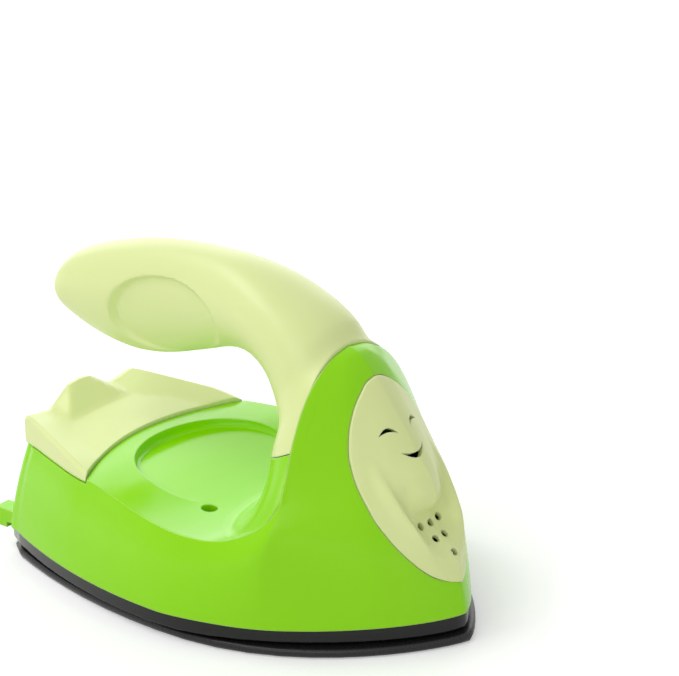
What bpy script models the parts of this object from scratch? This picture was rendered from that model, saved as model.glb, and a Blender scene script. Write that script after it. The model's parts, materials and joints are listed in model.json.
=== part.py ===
"""Mini craft iron: soleplate, housing, handle, face plate, rear cover and the heating parts inside."""
import math

import bmesh
import bpy
import numpy as np
from mathutils import Vector

# All lengths are in millimetres and MM turns them to metres when a mesh is made.
# Toe is at -Y, heel at +Y, up is +Z, and the working face of the soleplate is at Z = 0.
MM = 0.001

# Main sizes
SOLE_LENGTH = 110.0
SOLE_HALF = 33.0
SOLE_HEEL_HALF = 23.3
HOUSING_HEIGHT = 52.4
PLATFORM_HEIGHT = 2.3

# General clearances and walls
GAP = 0.3
CUT_PAST = 2.0
SHELL_WALL = 1.8
HANDLE_WALL = 2.2
FACE_THICK = 1.8
COVER_WALL = 1.7

# Soleplate
SOLE_WIDEST_share = 0.52
SOLE_NOSE_POWER_share = 2.26
SOLE_NOSE_ROUND_share = 0.82
SOLE_CORNER = 4.0
SOLE_RIM_TOP = 2.1
SOLE_LOWER_ROUND = 0.9
SOLE_UPPER_ROUND = 0.6
PLATFORM_INSET = 4.2
BOSS_RADIUS = 3.2
BOSS_HEIGHT = 4.6

# Lower edge of the housing against the sole outline, and the skirt ring between them
TOE_SETBACK = 1.2
HEEL_OVERHANG = 1.25
SIDE_OVERHANG = 1.6
HEEL_DRAW_IN = 1.0
EDGE_WIDEST_share = 0.49
EDGE_NOSE_POWER_share = 1.66
EDGE_NOSE_ROUND_share = 0.74
EDGE_CORNER = 4.2
GROOVE_HEIGHT = 0.7
RING_HEIGHT = 3.1
RING_SETBACK = 0.35
RING_CHAMFER = 0.3
RING_WALL = 1.7
RING_FLANGE = 7.5
RING_FLANGE_THICK = 1.2

# Derived frame of the housing
TOE = -SOLE_LENGTH / 2
HEEL = SOLE_LENGTH / 2
EDGE_TOE = TOE + TOE_SETBACK
EDGE_HEEL = HEEL + HEEL_OVERHANG
EDGE_LENGTH = EDGE_HEEL - EDGE_TOE
EDGE_HALF = SOLE_HALF + SIDE_OVERHANG
EDGE_HEEL_HALF = SOLE_HEEL_HALF - HEEL_DRAW_IN
PLATFORM_TOP = SOLE_RIM_TOP + PLATFORM_HEIGHT
RING_BOTTOM = SOLE_RIM_TOP + GROOVE_HEIGHT
RING_TOP = RING_BOTTOM + RING_HEIGHT
EDGE_Z = RING_TOP + GAP


def across(share):
    """X at a share of the housing's half width."""
    return EDGE_HALF * np.asarray(share, float)


def along(share):
    """Y at a share of the housing's length, from the toe."""
    return EDGE_TOE + EDGE_LENGTH * np.asarray(share, float)


def height(share):
    """Z at a share of the housing's height, from its lower edge."""
    return EDGE_Z + HOUSING_HEIGHT * np.asarray(share, float)


# Nose line in the middle plane: height and length
NOSE_shares = [
    (0.0, 0.0), (0.0725, 0.0036), (0.1851, 0.0145), (0.2519, 0.0236), (0.3416, 0.04),
    (0.4466, 0.0627), (0.5363, 0.0836), (0.6393, 0.1109), (0.7366, 0.1372), (0.8149, 0.1599),
    (0.8931, 0.1845), (0.9466, 0.2054), (0.9847, 0.2254), (1.0, 0.2453),
]
# Half width of the hood in its rear plane: height and half width
HOOD_Y_share = 0.2472
HOOD_FOOT_share = 0.5115
HOOD_shares = [
    (0.0, 0.7861), (0.1679, 0.7919), (0.3015, 0.7803), (0.3969, 0.7572), (0.4542, 0.7225),
    (0.5115, 0.6734), (0.6069, 0.6127), (0.6832, 0.5694), (0.7595, 0.5116), (0.8359, 0.4393),
    (0.9065, 0.3439), (0.9542, 0.2399), (0.9866, 0.1243), (1.0, 0.0),
]
# Plan section of the hood from the nose to its rear plane: depth and half width
SECTION_shares = [
    (0.0, 0.0), (0.05, 0.12), (0.092, 0.196), (0.15, 0.296), (0.217, 0.386), (0.29, 0.475), (0.34, 0.529),
    (0.45, 0.62), (0.6, 0.728), (0.77, 0.848), (0.9, 0.936), (1.0, 1.0),
]
SECTION_FULL_share = 0.3015
# Upper rim of the body from the hood to the heel: length, half width and height
RIM_shares = [
    (0.2472, 0.6734, 0.5115), (0.2544, 0.7139, 0.4656), (0.2762, 0.7543, 0.4141),
    (0.308, 0.7861, 0.3702), (0.3353, 0.815, 0.3454), (0.3644, 0.841, 0.3302),
    (0.4062, 0.8671, 0.3225), (0.4562, 0.8815, 0.3244), (0.5125, 0.8728, 0.334),
    (0.5779, 0.841, 0.3492), (0.6497, 0.7919, 0.3626), (0.7179, 0.7399, 0.3683),
    (0.7606, 0.7139, 0.3645), (0.8005, 0.6792, 0.3626), (0.836, 0.6416, 0.3626),
    (0.8814, 0.5925, 0.3626), (0.9205, 0.5491, 0.3626), (0.9523, 0.5173, 0.3626),
    (0.98, 0.4884, 0.3626),
]
SIDE_BULGE = 0.8
HEEL_LEAN = 2.2
HEEL_TOP_CORNER = 2.6
SADDLE_SINK = -1.8
SADDLE_CROWN = 0.7
SADDLE_SINK_END_share = 0.507
SADDLE_CROWN_START_share = 0.6433
POST_DEPTH = 11.9
POST_SQUARENESS = 2.8
POST_STEP = 0.8
POST_WALL = 2.9
POST_FILLET = 12.0
POST_LEVEL_shares = [0.0, 0.25, 0.47, 0.65, 0.79, 0.88, 0.94]
POST_LAST_share = 1.04
SEAM_FRONT_share = 0.6832
SEAM_REAR_share = 0.5744
HOOD_Y = float(along(HOOD_Y_share))
POST_REAR_Y = HOOD_Y + POST_DEPTH
HEEL_TOP_Y = EDGE_HEEL - HEEL_LEAN

# Round recess in the saddle
RECESS_RADIUS = 18.2
RECESS_Y_share = 0.5906
RECESS_RAISE = 0.4
RECESS_RAISE_END_share = 0.5434

# Screw wells from the saddle down to the soleplate, and the front screw post
WELL_X_share = 0.4682
WELL_Y_share = 0.4871
WELL_RADIUS = 1.75
WELL_DEPTH = 8.0
FRONT_POST_Y_share = 0.1436
FRONT_POST_HEIGHT = 8.0
FRONT_RIB_HALF = 0.9
FRONT_RIB_HEIGHT = 2.3
SCREW_RADIUS = 1.0
SCREW_HEAD_HEIGHT = 1.5
FRONT_HEAD_RADIUS = 2.0
SCREW_ENGAGEMENT = 3.6
TUBE_RADIUS = 3.1

# Heel pegs
PEG_INNER_X_share = 0.5405
PEG_WIDTH = 4.0
PEG_OUT = 3.75
PEG_DROP = 1.0
PEG_RISE = 3.4
PEG_ROOT = 4.6
PEG_CHAMFER = 0.35

# Handle in the middle plane: upper line, lower line, half width, squareness and egg form, butt first
HANDLE_shares = [
    (0.9677, 0.9962, 0.9641, 0.9294, 0.104, 2.1, 0.05), (0.9641, 1.0382, 0.9559, 0.895, 0.1561, 2.1, 0.1),
    (0.9514, 1.0878, 0.9378, 0.8569, 0.1908, 2.1, 0.16),
    (0.9214, 1.1374, 0.9069, 0.8225, 0.2081, 2.1, 0.16),
    (0.8832, 1.1718, 0.8741, 0.7958, 0.2168, 2.1, 0.16),
    (0.8378, 1.2023, 0.8305, 0.7729, 0.2225, 2.1, 0.16),
    (0.7842, 1.2309, 0.7796, 0.7615, 0.2254, 2.1, 0.16),
    (0.7297, 1.2538, 0.7297, 0.7672, 0.2254, 2.1, 0.16),
    (0.6706, 1.2691, 0.6797, 0.7863, 0.2254, 2.1, 0.16),
    (0.6115, 1.2767, 0.6297, 0.8149, 0.2254, 2.1, 0.16),
    (0.5525, 1.2767, 0.5816, 0.8454, 0.2312, 2.1, 0.16),
    (0.498, 1.2691, 0.5361, 0.876, 0.2428, 2.1, 0.16),
    (0.4462, 1.25, 0.4943, 0.8912, 0.263, 2.1, 0.16), (0.3953, 1.2176, 0.4562, 0.8855, 0.2861, 2.1, 0.16),
    (0.3498, 1.1775, 0.4234, 0.8607, 0.3064, 2.1, 0.12),
    (0.308, 1.1317, 0.398, 0.8225, 0.3237, 2.15, 0.06),
    (0.2717, 1.0763, 0.3816, 0.7691, 0.3382, 2.2, 0.0),
    (0.2453, 1.0057, 0.3726, 0.7099, 0.3555, 2.2, 0.0),
    (0.2026, 0.9599, 0.3653, 0.645, 0.4104, 2.2, 0.0), (0.1799, 0.8645, 0.358, 0.5763, 0.4971, 2.7, 0.0),
    (0.1436, 0.7309, 0.3553, 0.5038, 0.5896, 2.8, 0.0),
]
HANDLE_TIP_shares = (0.9696, 0.9656)
DIMPLE_Y_share = 0.6388
DIMPLE_Z_share = 1.0038
DIMPLE_LENGTH = 32.0
DIMPLE_HEIGHT = 19.2
DIMPLE_DEPTH = 1.5
DIMPLE_EDGE_share = 0.4

# Face plate: height and half width of its outline, then its relief in front of the hood
FACE_shares = [
    (0.1336, 0.0), (0.1469, 0.0694), (0.1851, 0.1618), (0.2519, 0.2428),
    (0.3416, 0.3121), (0.4466, 0.3555), (0.5363, 0.3613), (0.6393, 0.3439),
    (0.7366, 0.2919), (0.8111, 0.2168), (0.8626, 0.1329), (0.8931, 0.0578),
    (0.9027, 0.0),
]
RELIEF = 2.8
RELIEF_ACROSS_shares = [0.0, 0.25, 0.45, 0.65, 0.85, 1.0]
RELIEF_shares = [
    (0.1336, 0.179, 0.179, 0.179, 0.179, 0.161, 0.125),
    (0.1679, 0.286, 0.286, 0.286, 0.268, 0.214, 0.125),
    (0.2156, 0.179, 0.214, 0.286, 0.339, 0.268, 0.125),
    (0.2634, -0.143, -0.071, 0.143, 0.393, 0.321, 0.125),
    (0.3092, -0.607, -0.464, -0.071, 0.411, 0.321, 0.125),
    (0.3569, -1.0, -0.821, -0.214, 0.393, 0.286, 0.125),
    (0.3969, -0.643, -0.5, -0.107, 0.321, 0.25, 0.125), (0.4351, 0.0, 0.0, 0.036, 0.286, 0.232, 0.125),
    (0.4924, 0.571, 0.464, 0.214, 0.268, 0.196, 0.125), (0.5496, 0.786, 0.714, 0.464, 0.25, 0.179, 0.125),
    (0.6164, 0.607, 0.571, 0.464, 0.25, 0.161, 0.125), (0.6832, 0.5, 0.482, 0.411, 0.25, 0.161, 0.125),
    (0.7595, 0.393, 0.393, 0.339, 0.232, 0.161, 0.125), (0.8359, 0.25, 0.25, 0.232, 0.196, 0.161, 0.125),
    (0.9027, 0.125, 0.125, 0.125, 0.125, 0.125, 0.125),
]
VENT_RADIUS = 0.85
VENT_PITCH_X = 2.9
VENT_PITCH_Z = 2.45
VENT_TOP_share = 0.3569
VENT_ROWS = 3
EYE_X = 4.2
EYE_Z_share = 0.7099
EYE_RADIUS = 2.2
EYE_THICK = 1.1
EYE_SWEEP = (20.0, 160.0)
MOUTH_Z_share = 0.6489
MOUTH_RADIUS = 3.0
MOUTH_THICK = 1.9
MOUTH_SWEEP = (205.0, 335.0)
GROOVE_DEPTH = 1.0

# Rear cover
COVER_ARC_Y_share = 0.7969
COVER_ARC_RADIUS = 42.5
COVER_SEAM_share = 0.3492
COVER_EDGE_INSET = 0.3
COVER_HEEL_INSET = 0.4
COVER_BLUR = 0.5
COVER_SIDE_ROUND = 0.8
COVER_REAR_ROUND = 0.4
# Named points of the cover's top for one side: half width, length and height
COVER_shares = {
    "arc_mid": (0.0, 0.7969, 0.3893), "arc_inner": (0.2746, 0.7869, 0.3874),
    "arc_outer": (0.5, 0.7651, 0.3836), "tip": (0.7572, 0.7215, 0.3836),
    "tip_in": (0.6821, 0.7378, 0.3874), "crease_front": (0.552, 0.7733, 0.3969),
    "crease_mid": (0.4133, 0.8423, 0.4084), "ramp_corner": (0.2717, 0.9123, 0.4237),
    "ramp_mid": (0.0, 0.9123, 0.4237), "deck_mid": (0.0, 0.8523, 0.4046),
    "top_corner": (0.0809, 0.9705, 0.5305), "top_mid": (0.0, 0.9705, 0.5344),
    "back_corner": (0.0867, 0.985, 0.5286), "back_mid": (0.0, 0.985, 0.5344),
    "back_foot": (0.2543, 0.985, 0.458), "back_side": (0.3873, 0.985, 0.4656),
    "back_edge": (0.5087, 0.985, 0.479), "edge_rear": (0.5549, 0.9323, 0.4752),
    "ridge_rear": (0.474, 0.9305, 0.4599), "edge_mid": (0.6329, 0.866, 0.4561),
    "ridge_mid": (0.5376, 0.8632, 0.4351), "edge_front": (0.7052, 0.7978, 0.4332),
    "ridge_front": (0.6243, 0.796, 0.416),
}
COVER_FACES = [
    ("arc_mid", "arc_inner", "deck_mid"), ("arc_inner", "crease_mid", "deck_mid"),
    ("arc_inner", "arc_outer", "crease_mid"), ("arc_outer", "crease_front", "crease_mid"),
    ("arc_outer", "tip_in", "crease_front"), ("arc_outer", "tip", "tip_in"),
    ("deck_mid", "crease_mid", "ramp_corner"), ("deck_mid", "ramp_corner", "ramp_mid"),
    ("ramp_mid", "ramp_corner", "top_corner"), ("ramp_mid", "top_corner", "top_mid"),
    ("top_mid", "top_corner", "back_corner"), ("top_mid", "back_corner", "back_mid"),
    ("ramp_corner", "back_foot", "top_corner"), ("top_corner", "back_foot", "back_corner"),
    ("ramp_corner", "ridge_rear", "back_side"), ("ramp_corner", "back_side", "back_foot"),
    ("ridge_rear", "edge_rear", "back_side"), ("back_side", "edge_rear", "back_edge"),
    ("crease_mid", "ridge_mid", "ramp_corner"), ("ramp_corner", "ridge_mid", "ridge_rear"),
    ("ridge_mid", "edge_mid", "ridge_rear"), ("ridge_rear", "edge_mid", "edge_rear"),
    ("crease_front", "ridge_front", "crease_mid"), ("crease_mid", "ridge_front", "ridge_mid"),
    ("ridge_front", "edge_front", "ridge_mid"), ("ridge_mid", "edge_front", "edge_mid"),
    ("tip_in", "tip", "edge_front"), ("tip_in", "edge_front", "ridge_front"),
    ("tip_in", "ridge_front", "crease_front"),
]
CORD_HOLE_RADIUS = 3.4
CORD_HOLE_Y_share = 0.8478
BUSH_Z_share = 0.4198
BUSH_RADIUS = 2.3
BUSH_FLANGE_RADIUS = 3.2
BUSH_BORE = 1.5
BUSH_FLANGE_THICK = 1.0
BUSH_PAST_WALL = 0.6

# Heating parts on the soleplate
STACK_FRONT_share = 0.289
STACK_REAR_share = 0.6933
STACK_HALF_share = 0.289
STACK_NOSE_share = 0.5
STACK_SHOULDER = 12.0
MICA_MARGIN = 1.6
MICA_THICK = 0.4
HEATER_THICK = 0.7
CLAMP_THICK = 1.2
STUD_Y_shares = (0.3798, 0.6252)
STUD_RADIUS = 2.0
NUT_RADIUS = 3.6
NUT_HEIGHT = 2.0
SHIELD_RISE = 1.2
SHIELD_THICK = 0.5
SHIELD_INSET = 8.6
SHIELD_HOLE_MARGIN = 0.6
PIN_RADIUS = 0.8
PIN_HEAD_RADIUS = 2.0
PIN_HEAD_HEIGHT = 1.2
PIN_DEPTH = 3.5
THERMOSTAT_Y_share = 0.766
THERMOSTAT_RADIUS = 4.9
THERMOSTAT_BASE = 1.4
THERMOSTAT_BODY_RADIUS = 4.2
THERMOSTAT_BODY_HEIGHT = 3.0
TAB_HALF = (0.4, 0.9)
TAB_HEIGHT = 1.4
TAB_X = 2.4
FUSE_X_share = 0.2081
FUSE_Y_share = 0.507
FUSE_RADIUS = 1.2
FUSE_HALF = 4.5
FUSE_LEAD_RADIUS = 0.45
FUSE_LEAD_HALF = 8.0

# Terminal block, leads and cord clamp
BLOCK_Y_share = 0.8451
BLOCK_HALF = (8.0, 3.0)
BLOCK_HEIGHT = 4.6
BLOCK_BORE_X = 4.0
BLOCK_BORE_RADIUS = 1.1
BLOCK_SCREW_RADIUS = 0.8
BLOCK_SCREW_HEAD = 1.4
LEAD_RADIUS = 0.7
LEAD_SWING = 4.4
CLAMP_BAR_HALF = (7.5, 2.0)
CLAMP_BAR_THICK = 1.8
CLAMP_BAR_Y_share = 0.9141
CLAMP_BOSS_LENGTH = 1.6
CLAMP_BOSS_RADIUS = 2.2
CLAMP_SCREW_X = 5.2
CLAMP_HEAD_RADIUS = 1.8
CLAMP_HEAD_HEIGHT = 1.1

# Screws that hold the handle and the rear cover
HANDLE_SCREW_Z_shares = (0.7634, 0.874)
HANDLE_SCREW_RADIUS = 1.3
HANDLE_HEAD_RADIUS = 2.2
HANDLE_HEAD_HEIGHT = 1.6
HANDLE_SCREW_LENGTH = 8.0
HANDLE_BOSS_RADIUS = 3.0
COVER_SCREW_X_share = 0.3468
COVER_SCREW_Y_share = 0.9159
COVER_BOSS_RADIUS = 2.2
COVER_SCREW_LENGTH = 2.6
COVER_HEAD_RADIUS = 1.8
COVER_HEAD_HEIGHT = 1.1

# Mesh resolution
LOOP_COUNT = 30
ROUND_COUNT = 20
SMALL_COUNT = 12
HANDLE_AROUND = 24
POST_AROUND = 24
TINY = 1e-9
WELD = 0.002

# Colours and finishes: colour, roughness, metallic
FINISHES = {
    "shell_green": ((0.27, 0.70, 0.0), 0.28, 0.0),
    "pale_green": ((0.74, 0.85, 0.42), 0.35, 0.0),
    "sole_black": ((0.03, 0.028, 0.03), 0.45, 0.2),
    "ring_black": ((0.035, 0.03, 0.04), 0.3, 0.0),
    "steel": ((0.6, 0.6, 0.6), 0.35, 1.0),
    "mica": ((0.55, 0.47, 0.33), 0.6, 0.0),
    "heater_foil": ((0.45, 0.38, 0.28), 0.5, 0.3),
    "white_ceramic": ((0.8, 0.79, 0.75), 0.5, 0.0),
    "black_rubber": ((0.02, 0.02, 0.02), 0.7, 0.0),
    "lead_sleeve": ((0.75, 0.72, 0.65), 0.6, 0.0),
    "grey_plastic": ((0.2, 0.2, 0.21), 0.5, 0.0),
}


def clear_scene():
    """Remove every object that the start file holds."""
    for item in list(bpy.data.objects):
        bpy.data.objects.remove(item, do_unlink=True)


def make_material(name):
    """Principled material from the finish table."""
    colour, roughness, metallic = FINISHES[name]
    material = bpy.data.materials.get(name) or bpy.data.materials.new(name)
    material.use_nodes = True
    shader = material.node_tree.nodes["Principled BSDF"]
    shader.inputs["Base Color"].default_value = (*colour, 1.0)
    shader.inputs["Roughness"].default_value = roughness
    shader.inputs["Metallic"].default_value = metallic
    material.diffuse_color = (*colour, 1.0)
    return material


def finish_object(item, finish, degrees=35):
    """Material and smooth shading with crisp edges above the given angle."""
    item.data.materials.clear()
    item.data.materials.append(make_material(finish))
    item.data.shade_smooth()
    item.data.set_sharp_from_angle(angle=math.radians(degrees))
    return item


def make_object(name, bm, finish=None, degrees=35):
    """Turn a bmesh in millimetres into an object in metres."""
    bmesh.ops.remove_doubles(bm, verts=bm.verts, dist=WELD)
    bmesh.ops.dissolve_degenerate(bm, edges=bm.edges, dist=WELD)
    bmesh.ops.recalc_face_normals(bm, faces=bm.faces)
    if bm.calc_volume(signed=True) < 0.0:
        bmesh.ops.reverse_faces(bm, faces=bm.faces)
    bmesh.ops.scale(bm, vec=Vector((MM, MM, MM)), verts=bm.verts)
    mesh = bpy.data.meshes.new(name)
    bm.to_mesh(mesh)
    bm.free()
    item = bpy.data.objects.new(name, mesh)
    bpy.context.scene.collection.objects.link(item)
    if finish:
        finish_object(item, finish, degrees)
    return item


def triangulate(item):
    """Split the faces of an object into flat triangles."""
    bm = bmesh.new()
    bm.from_mesh(item.data)
    bmesh.ops.triangulate(bm, faces=bm.faces)
    bm.to_mesh(item.data)
    bm.free()
    return item


def combine(target, tool, operation):
    """Boolean of two objects that drops the tool."""
    modifier = target.modifiers.new("shape", "BOOLEAN")
    modifier.operation = operation
    modifier.solver = "EXACT"
    modifier.object = tool
    with bpy.context.temp_override(object=target, active_object=target):
        bpy.ops.object.modifier_apply(modifier=modifier.name)
    mesh = tool.data
    bpy.data.objects.remove(tool, do_unlink=True)
    bpy.data.meshes.remove(mesh)
    return target


def cut(target, tool):
    """Take the tool away from the target."""
    return combine(target, tool, "DIFFERENCE")


def add(target, tool):
    """Grow the target by the tool."""
    return combine(target, tool, "UNION")


def name_each(name, items, finish):
    """Number equal pieces and give them one material."""
    for number, item in enumerate(items, 1):
        item.name = f"{name}_{number}"
        item.data.name = item.name
        finish_object(item, finish)


def spline(pairs):
    """Monotone cubic through (x, y) pairs, as a function of x."""
    xs, ys = (np.array(values, float) for values in zip(*pairs))
    step = np.diff(xs)
    slope = np.diff(ys) / step
    tangent = np.zeros(len(xs))
    for i in range(1, len(xs) - 1):
        if slope[i - 1] * slope[i] > 0:
            before = 2 * step[i] + step[i - 1]
            after = step[i] + 2 * step[i - 1]
            tangent[i] = (before + after) / (before / slope[i - 1] + after / slope[i])
    tangent[0] = slope[0]
    tangent[-1] = slope[-1]

    def value(x):
        x = np.clip(np.asarray(x, float), xs[0], xs[-1])
        i = np.clip(np.searchsorted(xs, x) - 1, 0, len(xs) - 2)
        h = step[i]
        t = (x - xs[i]) / h
        return ((1 + 2 * t) * (1 - t) ** 2 * ys[i] + t * (1 - t) ** 2 * h * tangent[i]
                + t * t * (3 - 2 * t) * ys[i + 1] + t * t * (t - 1) * h * tangent[i + 1])
    return value


def soft_step(low, high, value):
    """Soft step from 0 to 1 between two values."""
    t = np.clip((np.asarray(value, float) - low) / (high - low), 0.0, 1.0)
    return t * t * (3 - 2 * t)


def resample(points, count, dense_ends=True):
    """Even points along an open line, closer together at both ends if asked."""
    points = np.asarray(points, float)
    length = np.concatenate([[0.0], np.cumsum(np.linalg.norm(np.diff(points, axis=0), axis=1))])
    share = np.linspace(0.0, 1.0, count)
    if dense_ends:
        share = share - 0.09 * np.sin(2 * math.pi * share)
    target = share * length[-1]
    return np.stack([np.interp(target, length, points[:, k]) for k in range(points.shape[1])], axis=1)


def add_grid(bm, rows, close_rows=False):
    """Quads between rows of 3-D points of equal length."""
    verts = [[bm.verts.new(point) for point in row] for row in rows]
    for low, high in zip(verts[:-1], verts[1:]):
        count = len(low)
        for i in range(count if close_rows else count - 1):
            j = (i + 1) % count
            bm.faces.new((low[i], low[j], high[j], high[i]))
    return verts


def close_sheet(bm, front, back):
    """Closed body between two grids of the same layout."""
    add_grid(bm, front)
    add_grid(bm, back)
    add_grid(bm, [front[0], back[0]])
    add_grid(bm, [front[-1], back[-1]])
    add_grid(bm, [[row[0] for row in front], [row[0] for row in back]])
    add_grid(bm, [[row[-1] for row in front], [row[-1] for row in back]])


def loft(name, loops, finish=None, degrees=35):
    """Closed body through closed loops, with flat caps."""
    bm = bmesh.new()
    verts = add_grid(bm, loops, close_rows=True)
    bm.faces.new(verts[0][::-1])
    bm.faces.new(verts[-1])
    return make_object(name, bm, finish, degrees)


def circle(radius, count):
    """Points of a circle about the origin."""
    angles = [2 * math.pi * (i + 0.5) / count for i in range(count)]
    return [(radius * math.cos(a), radius * math.sin(a)) for a in angles]


def turned(name, profile, centre, finish=None, axis="Z", count=ROUND_COUNT):
    """Closed turned body: profile is a list of (radius, position along the axis)."""
    loops = []
    for radius, position in profile:
        ring = []
        for u, v in circle(radius, count):
            if axis == "Z":
                ring.append((centre[0] + u, centre[1] + v, centre[2] + position))
            else:
                ring.append((centre[0] + u, centre[1] + position, centre[2] + v))
        loops.append(ring)
    return loft(name, loops, finish)


def drill(target, radius, centre, low, high, axis="Z", count=ROUND_COUNT):
    """Round hole between two positions along an axis."""
    return cut(target, turned("tool", [(radius, low), (radius, high)], centre, None, axis, count))


def post(target, radius, centre, low, high, axis="Z", count=ROUND_COUNT):
    """Round pillar between two positions along an axis."""
    return add(target, turned("tool", [(radius, low), (radius, high)], centre, None, axis, count))


def box(name, low, high, finish=None):
    """Axis-aligned block between two corners."""
    loops = []
    for z in (low[2], high[2]):
        loops.append([(low[0], low[1], z), (high[0], low[1], z), (high[0], high[1], z),
                      (low[0], high[1], z)])
    return loft(name, loops, finish)


def prism(name, outline, z_low, z_high, finish=None):
    """Straight block over a closed XY outline."""
    loops = [[(x, y, z_low) for x, y in outline], [(x, y, z_high) for x, y in outline]]
    return loft(name, loops, finish)


def screw(name, centre, tip, seat, head_top, radius, head_radius, axis="Z"):
    """Pan-head screw from its tip to its head, along an axis."""
    profile = [(radius, tip), (radius, seat), (head_radius, seat), (head_radius, head_top)]
    return turned(name, profile, centre, None, axis, SMALL_COUNT)


# Outlines in plan
SOLE_SHAPE = (TOE, HEEL, SOLE_HALF, SOLE_HEEL_HALF, SOLE_WIDEST_share, SOLE_NOSE_POWER_share,
              SOLE_NOSE_ROUND_share)
EDGE_SHAPE = (EDGE_TOE, EDGE_HEEL, EDGE_HALF, EDGE_HEEL_HALF, EDGE_WIDEST_share, EDGE_NOSE_POWER_share,
              EDGE_NOSE_ROUND_share)


def half_width(y, shape):
    """Half width of an iron-shaped outline at a given y."""
    toe, heel, widest, heel_half, widest_share, power, roundness = shape
    t = np.clip((np.asarray(y, float) - toe) / (heel - toe), 0.0, 1.0)
    ahead = np.clip((widest_share - t) / widest_share, 0.0, 1.0)
    front = widest * (1 - ahead ** power) ** roundness
    behind = widest - (widest - heel_half) * ((t - widest_share) / (1 - widest_share)) ** 2
    return np.where(t < widest_share, front, behind)


def half_outline(shape, corner, inset, count):
    """Points of the +X half of an outline, toe to heel middle, moved inwards by inset."""
    toe, heel = shape[0], shape[1]
    y = toe + (heel - toe) * np.linspace(0.0, 1.0, 400) ** 1.8
    side = resample(np.stack([half_width(y, shape), y], axis=1), 600, False)
    tangent = np.gradient(side, axis=0)
    tangent /= np.linalg.norm(tangent, axis=1)[:, None] + TINY
    side = side + np.stack([-tangent[:, 1], tangent[:, 0]], axis=1) * inset
    first = int(np.argmax(side[:, 0] > 0.0))
    if first > 0:
        a, b = side[first - 1], side[first]
        side = np.vstack([a + (b - a) * (a[0] / (a[0] - b[0])), side[first:]])
    side[0, 0] = 0.0
    back = heel - inset
    radius = max(corner - inset, corner / 4)
    side = side[side[:, 1] < back - radius]
    angles = np.linspace(0.0, math.pi / 2, 12)
    turn = np.stack([side[-1, 0] - radius + radius * np.cos(angles),
                     back - radius + radius * np.sin(angles)], axis=1)
    return resample(np.vstack([side, turn, [[0.0, back]]]), count)


def outline(shape, corner, inset, count=LOOP_COUNT):
    """Closed outline from its +X half."""
    half = half_outline(shape, corner, inset, count)
    return np.vstack([half, half[1:-1][::-1] * np.array([-1.0, 1.0])])


def level(shape, corner, inset, z):
    """Closed 3-D loop of an outline at one height."""
    return [(x, y, z) for x, y in outline(shape, corner, inset)]


def move_line(level_z, value, amount):
    """Points of a line (value, z) moved by amount to the right of its run."""
    points = np.stack([value, level_z], axis=1)
    tangent = np.gradient(points, axis=0)
    tangent /= np.linalg.norm(tangent, axis=1)[:, None] + TINY
    moved = points + np.stack([tangent[:, 1], -tangent[:, 0]], axis=1) * amount
    return moved[np.argsort(moved[:, 1])]


class Housing:
    """Outer surface of the housing, or the same surface moved inwards by inset."""

    def __init__(self, inset=0.0):
        self.inset = inset
        fine = np.linspace(0.0, 1.0, 240)
        nose = move_line(height(fine), along(spline(NOSE_shares)(fine)), inset)
        hood = move_line(height(fine), -across(spline(HOOD_shares)(fine)), inset)
        self.nose_line = (nose[:, 1], nose[:, 0])
        self.hood_line = (hood[:, 1], -hood[:, 0])
        self.hood_y = HOOD_Y - inset
        self.top_z = float(height(1.0)) - inset
        self.foot_z = float(height(HOOD_FOOT_share)) - inset
        self.rim_half = spline([(along(y), across(x)) for y, x, z in RIM_shares])
        self.rim_top = spline([(along(y), height(z)) for y, x, z in RIM_shares])

    def nose(self, z):
        """Y of the nose line at a height."""
        return np.minimum(np.interp(z, *self.nose_line), self.hood_y)

    def hood(self, z):
        """Half width in the hood's rear plane at a height."""
        value = np.interp(z, *self.hood_line)
        return np.clip(np.where(np.asarray(z) >= self.top_z - TINY, 0.0, value), 0.0, None)

    def section(self, u, z):
        """Share of the hood half width at share u of the way from nose to hood plane."""
        edge = half_width(EDGE_TOE + (HOOD_Y - EDGE_TOE) * u, EDGE_SHAPE) / half_width(HOOD_Y, EDGE_SHAPE)
        blend = soft_step(EDGE_Z, height(SECTION_FULL_share), z)
        return edge * (1 - blend) + spline(SECTION_shares)(u) * blend

    def front_y(self, x, z):
        """Y of the front surface at a given x and height."""
        u = np.linspace(0.0, 1.0, 120)
        nose = float(self.nose(z))
        share = np.interp(abs(x) / (float(self.hood(z)) + TINY), self.section(u, z), u)
        return nose + (self.hood_y - nose) * float(share)

    def saddle(self, x, y, sink=None):
        """Height of the saddle surface between its two rims."""
        if sink is None:
            step = soft_step(along(SADDLE_SINK_END_share), along(SADDLE_CROWN_START_share), y)
            sink = SADDLE_SINK + (SADDLE_CROWN - SADDLE_SINK) * step
        return self.rim_top(y) + sink * (1 - np.clip(np.abs(x) / self.rim_half(y), 0, 1) ** 2)


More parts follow.
